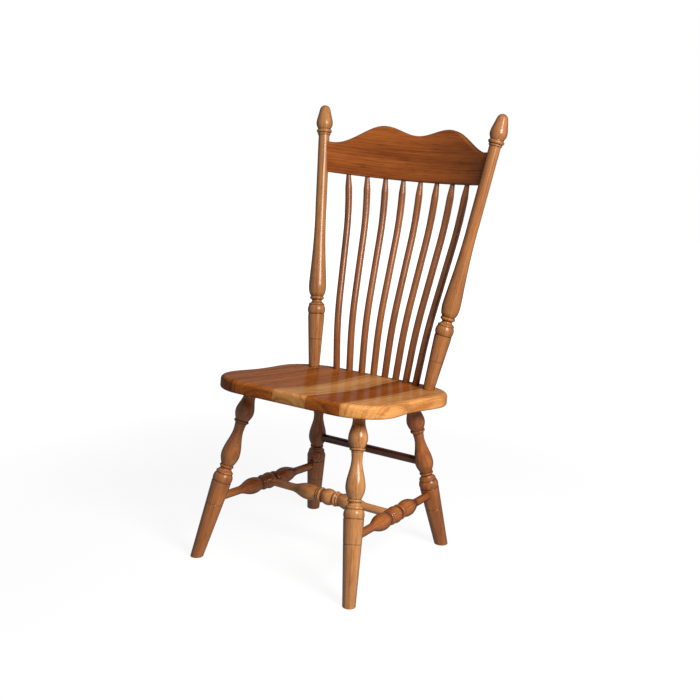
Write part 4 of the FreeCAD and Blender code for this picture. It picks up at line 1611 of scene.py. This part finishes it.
@dataclass(frozen=True)
class Fasteners:
    """Pins through the posts and screws up through the seat, which are the frame's own pieces.

    Attributes:
        pin_tone: Colour of the pins' end grain.
        steel_tone: Colour of the screws.
    """

    pin_tone: tuple[float, float, float] = (0.23, 0.10, 0.04)
    steel_tone: tuple[float, float, float] = (0.42, 0.41, 0.39)

    def pin_material(self) -> bpy.types.Material:
        """End grain of an oak pin under lacquer.

        Returns:
            The material.
        """
        material, n = new_material("pin_wood_finish")
        place = n.add("ShaderNodeTexCoord").outputs["Object"]
        oak = n.add("ShaderNodeGroup", node_tree=shared_group("oak", oak_group))
        n.feed(oak.inputs["Plank"], n.vector("ADD", place, (0.3, 0.2, 0.0)))
        oak.inputs["Pale"].default_value = (*self.pin_tone, 1)
        oak.inputs["Deep"].default_value = (*(0.5 * part for part in self.pin_tone), 1)
        oak.inputs["Ring width"].default_value = 0.0016
        shader = n.add("ShaderNodeBsdfPrincipled")
        n.feed(shader.inputs["Base Color"], oak.outputs["Color"])
        n.feed(shader.inputs["Roughness"], oak.outputs["Roughness"])
        n.surface(shader.outputs["BSDF"])
        return material

    def steel_material(self) -> bpy.types.Material:
        """Turned screw steel with fine uneven wear.

        Returns:
            The material.
        """
        material, n = new_material("screw_steel_finish")
        place = n.add("ShaderNodeTexCoord").outputs["Object"]
        wear = n.noise(place, (900, 900, 300), 3.0)
        shader = n.add("ShaderNodeBsdfPrincipled")
        dark = (*(0.6 * part for part in self.steel_tone), 1)
        n.feed(shader.inputs["Base Color"], n.mix(wear, (*self.steel_tone, 1), dark))
        n.feed(shader.inputs["Roughness"], n.math("ADD", 0.25, n.math("MULTIPLY", wear, 0.3)))
        shader.inputs["Metallic"].default_value = 1.0
        n.surface(shader.outputs["BSDF"])
        return material

    def build(self) -> None:
        """Dresses the pins and screws."""
        looks = {"crest_rail_pins": self.pin_material(), "post_screws": self.steel_material()}
        for name, material in looks.items():
            node = frame["nodes"][name]
            if not node.material_slots:
                node.data.materials.append(material)
            for place in node.material_slots:
                place.material = material
            LOG.info("%s: dressed as it is", name)


# Camera, light and floor

@dataclass(frozen=True)
class Studio:
    """Camera at the photograph's place, soft light and a pale floor.

    Attributes:
        place: Where the camera stands.
        azimuth: Its way round the chair, in degrees.
        elevation: How far it looks down, in degrees.
        roll: How far it leans, in degrees.
        lens: Focal length in millimetres.
        shift: The lens's shift.
        key: The main lamp's way round, elevation, distance, size and power.
        above: The same for the wide lamp overhead.
        aim_height: Height that the lamps face.
        sky: Strength of the light from all round.
        floor_size: Length of the floor's side.
        paper: How pale the floor is.
        glow: How bright the floor looks where the backdrop shows.
    """

    place: tuple[float, float, float] = (1.5577, -2.3302, 1.1544)
    azimuth: float = 33.54
    elevation: float = 12.78
    roll: float = 2.31
    lens: float = 58.56
    shift: tuple[float, float] = (-0.0013, 0.0014)
    key: tuple[float, float, float, float, float] = (72, 32, 2.2, 0.8, 62.0)
    above: tuple[float, float, float, float, float] = (20, 75, 2.2, 1.6, 5.0)
    aim_height: float = 0.5
    sky: float = 0.05
    floor_size: float = 14.0
    paper: float = 0.45
    glow: float = 1.23

    def camera(self) -> None:
        """Makes the camera and aims it."""
        around, down, lean = (math.radians(angle) for angle in (self.azimuth, self.elevation, self.roll))
        back = outward(around, down)
        level = Vector((math.cos(around), math.sin(around), 0))
        above = back.cross(level)
        right = level * math.cos(lean) + above * math.sin(lean)
        up = above * math.cos(lean) - level * math.sin(lean)
        deselect()
        bpy.ops.object.camera_add()
        camera = bpy.context.object
        camera.name = "camera"
        camera.matrix_world = stand(right, up, back, Vector(self.place))
        camera.data.lens = self.lens
        camera.data.sensor_width = 36.0
        camera.data.shift_x, camera.data.shift_y = self.shift
        camera.data.clip_end = 50.0
        bpy.context.scene.camera = camera

    def lamp(self, name: str, around: float, rise: float, distance: float, size: float, power: float) -> None:
        """Hangs a square lamp that faces the chair.

        Args:
            name: Its name.
            around: Its way round the chair, in degrees.
            rise: Its elevation, in degrees.
            distance: Its distance.
            size: The length of its side.
            power: Its power in watts.
        """
        away = outward(math.radians(around), math.radians(rise))
        target = Vector((0, 0, self.aim_height))
        deselect()
        bpy.ops.object.light_add(type="AREA", location=target + away * distance)
        lamp = bpy.context.object
        lamp.name = name
        lamp.rotation_euler = away.to_track_quat("Z", "Y").to_euler()
        lamp.data.shape = "SQUARE"
        lamp.data.size = size
        lamp.data.energy = power

    def backdrop_share(self, n: Nodes) -> bpy.types.NodeSocket:
        """Finds the rays that should meet a white studio.

        Args:
            n: The builder of the tree.

        Returns:
            One for rays from the camera, from gloss and through glass.
        """
        path = n.add("ShaderNodeLightPath").outputs
        share = n.math("MAXIMUM", path["Is Camera Ray"], path["Is Glossy Ray"])
        return n.math("MAXIMUM", share, path["Is Transmission Ray"])

    def world(self) -> None:
        """Soft light from all round, seen as white."""
        world = bpy.data.worlds.new("studio")
        world.use_nodes = True
        world.node_tree.nodes.clear()
        n = Nodes(world.node_tree)
        share = self.backdrop_share(n)
        strength = n.math("ADD", self.sky, n.math("MULTIPLY", share, 1.0 - self.sky))
        light = n.add("ShaderNodeBackground")
        light.inputs["Color"].default_value = (1, 1, 1, 1)
        n.feed(light.inputs["Strength"], strength)
        n.feed(n.add("ShaderNodeOutputWorld").inputs["Surface"], light.outputs["Background"])
        bpy.context.scene.world = world

    def floor(self) -> None:
        """Lays a pale floor that holds the chair's soft shadow."""
        deselect()
        bpy.ops.mesh.primitive_plane_add(size=self.floor_size, location=ORIGIN)
        floor = bpy.context.object
        floor.name = "studio_floor"
        material, n = new_material("studio_floor_paper")
        away = n.ramp(n.vector("LENGTH", n.add("ShaderNodeTexCoord").outputs["Object"]), 0.8, 2.6)
        glow_share = n.math("ADD", 0.75, n.math("MULTIPLY", away, 0.25))
        shader = n.add("ShaderNodeBsdfDiffuse")
        shader.inputs["Color"].default_value = (self.paper, self.paper, self.paper, 1)
        glow = n.add("ShaderNodeEmission")
        glow.inputs["Strength"].default_value = self.glow
        both = n.add("ShaderNodeMixShader")
        n.feed(both.inputs[0], n.math("MULTIPLY", self.backdrop_share(n), glow_share))
        n.feed(both.inputs[1], shader.outputs["BSDF"])
        n.feed(both.inputs[2], glow.outputs["Emission"])
        n.surface(both.outputs["Shader"])
        floor.data.materials.append(material)

    def light(self) -> None:
        """Sets the world, the lamps and the floor."""
        bpy.context.scene.view_settings.view_transform = "Standard"
        self.world()
        self.lamp("key", *self.key)
        self.lamp("above", *self.above)
        self.floor()


def main() -> None:
    """Builds the scene in order."""
    logging.basicConfig(level=logging.INFO, format="%(name)s: %(message)s")
    studio = Studio()
    studio.camera()
    Undercarriage().build()
    SeatBoards().build()
    Back().build()
    Fasteners().build()
    studio.light()


if __name__ == "__main__":
    main()
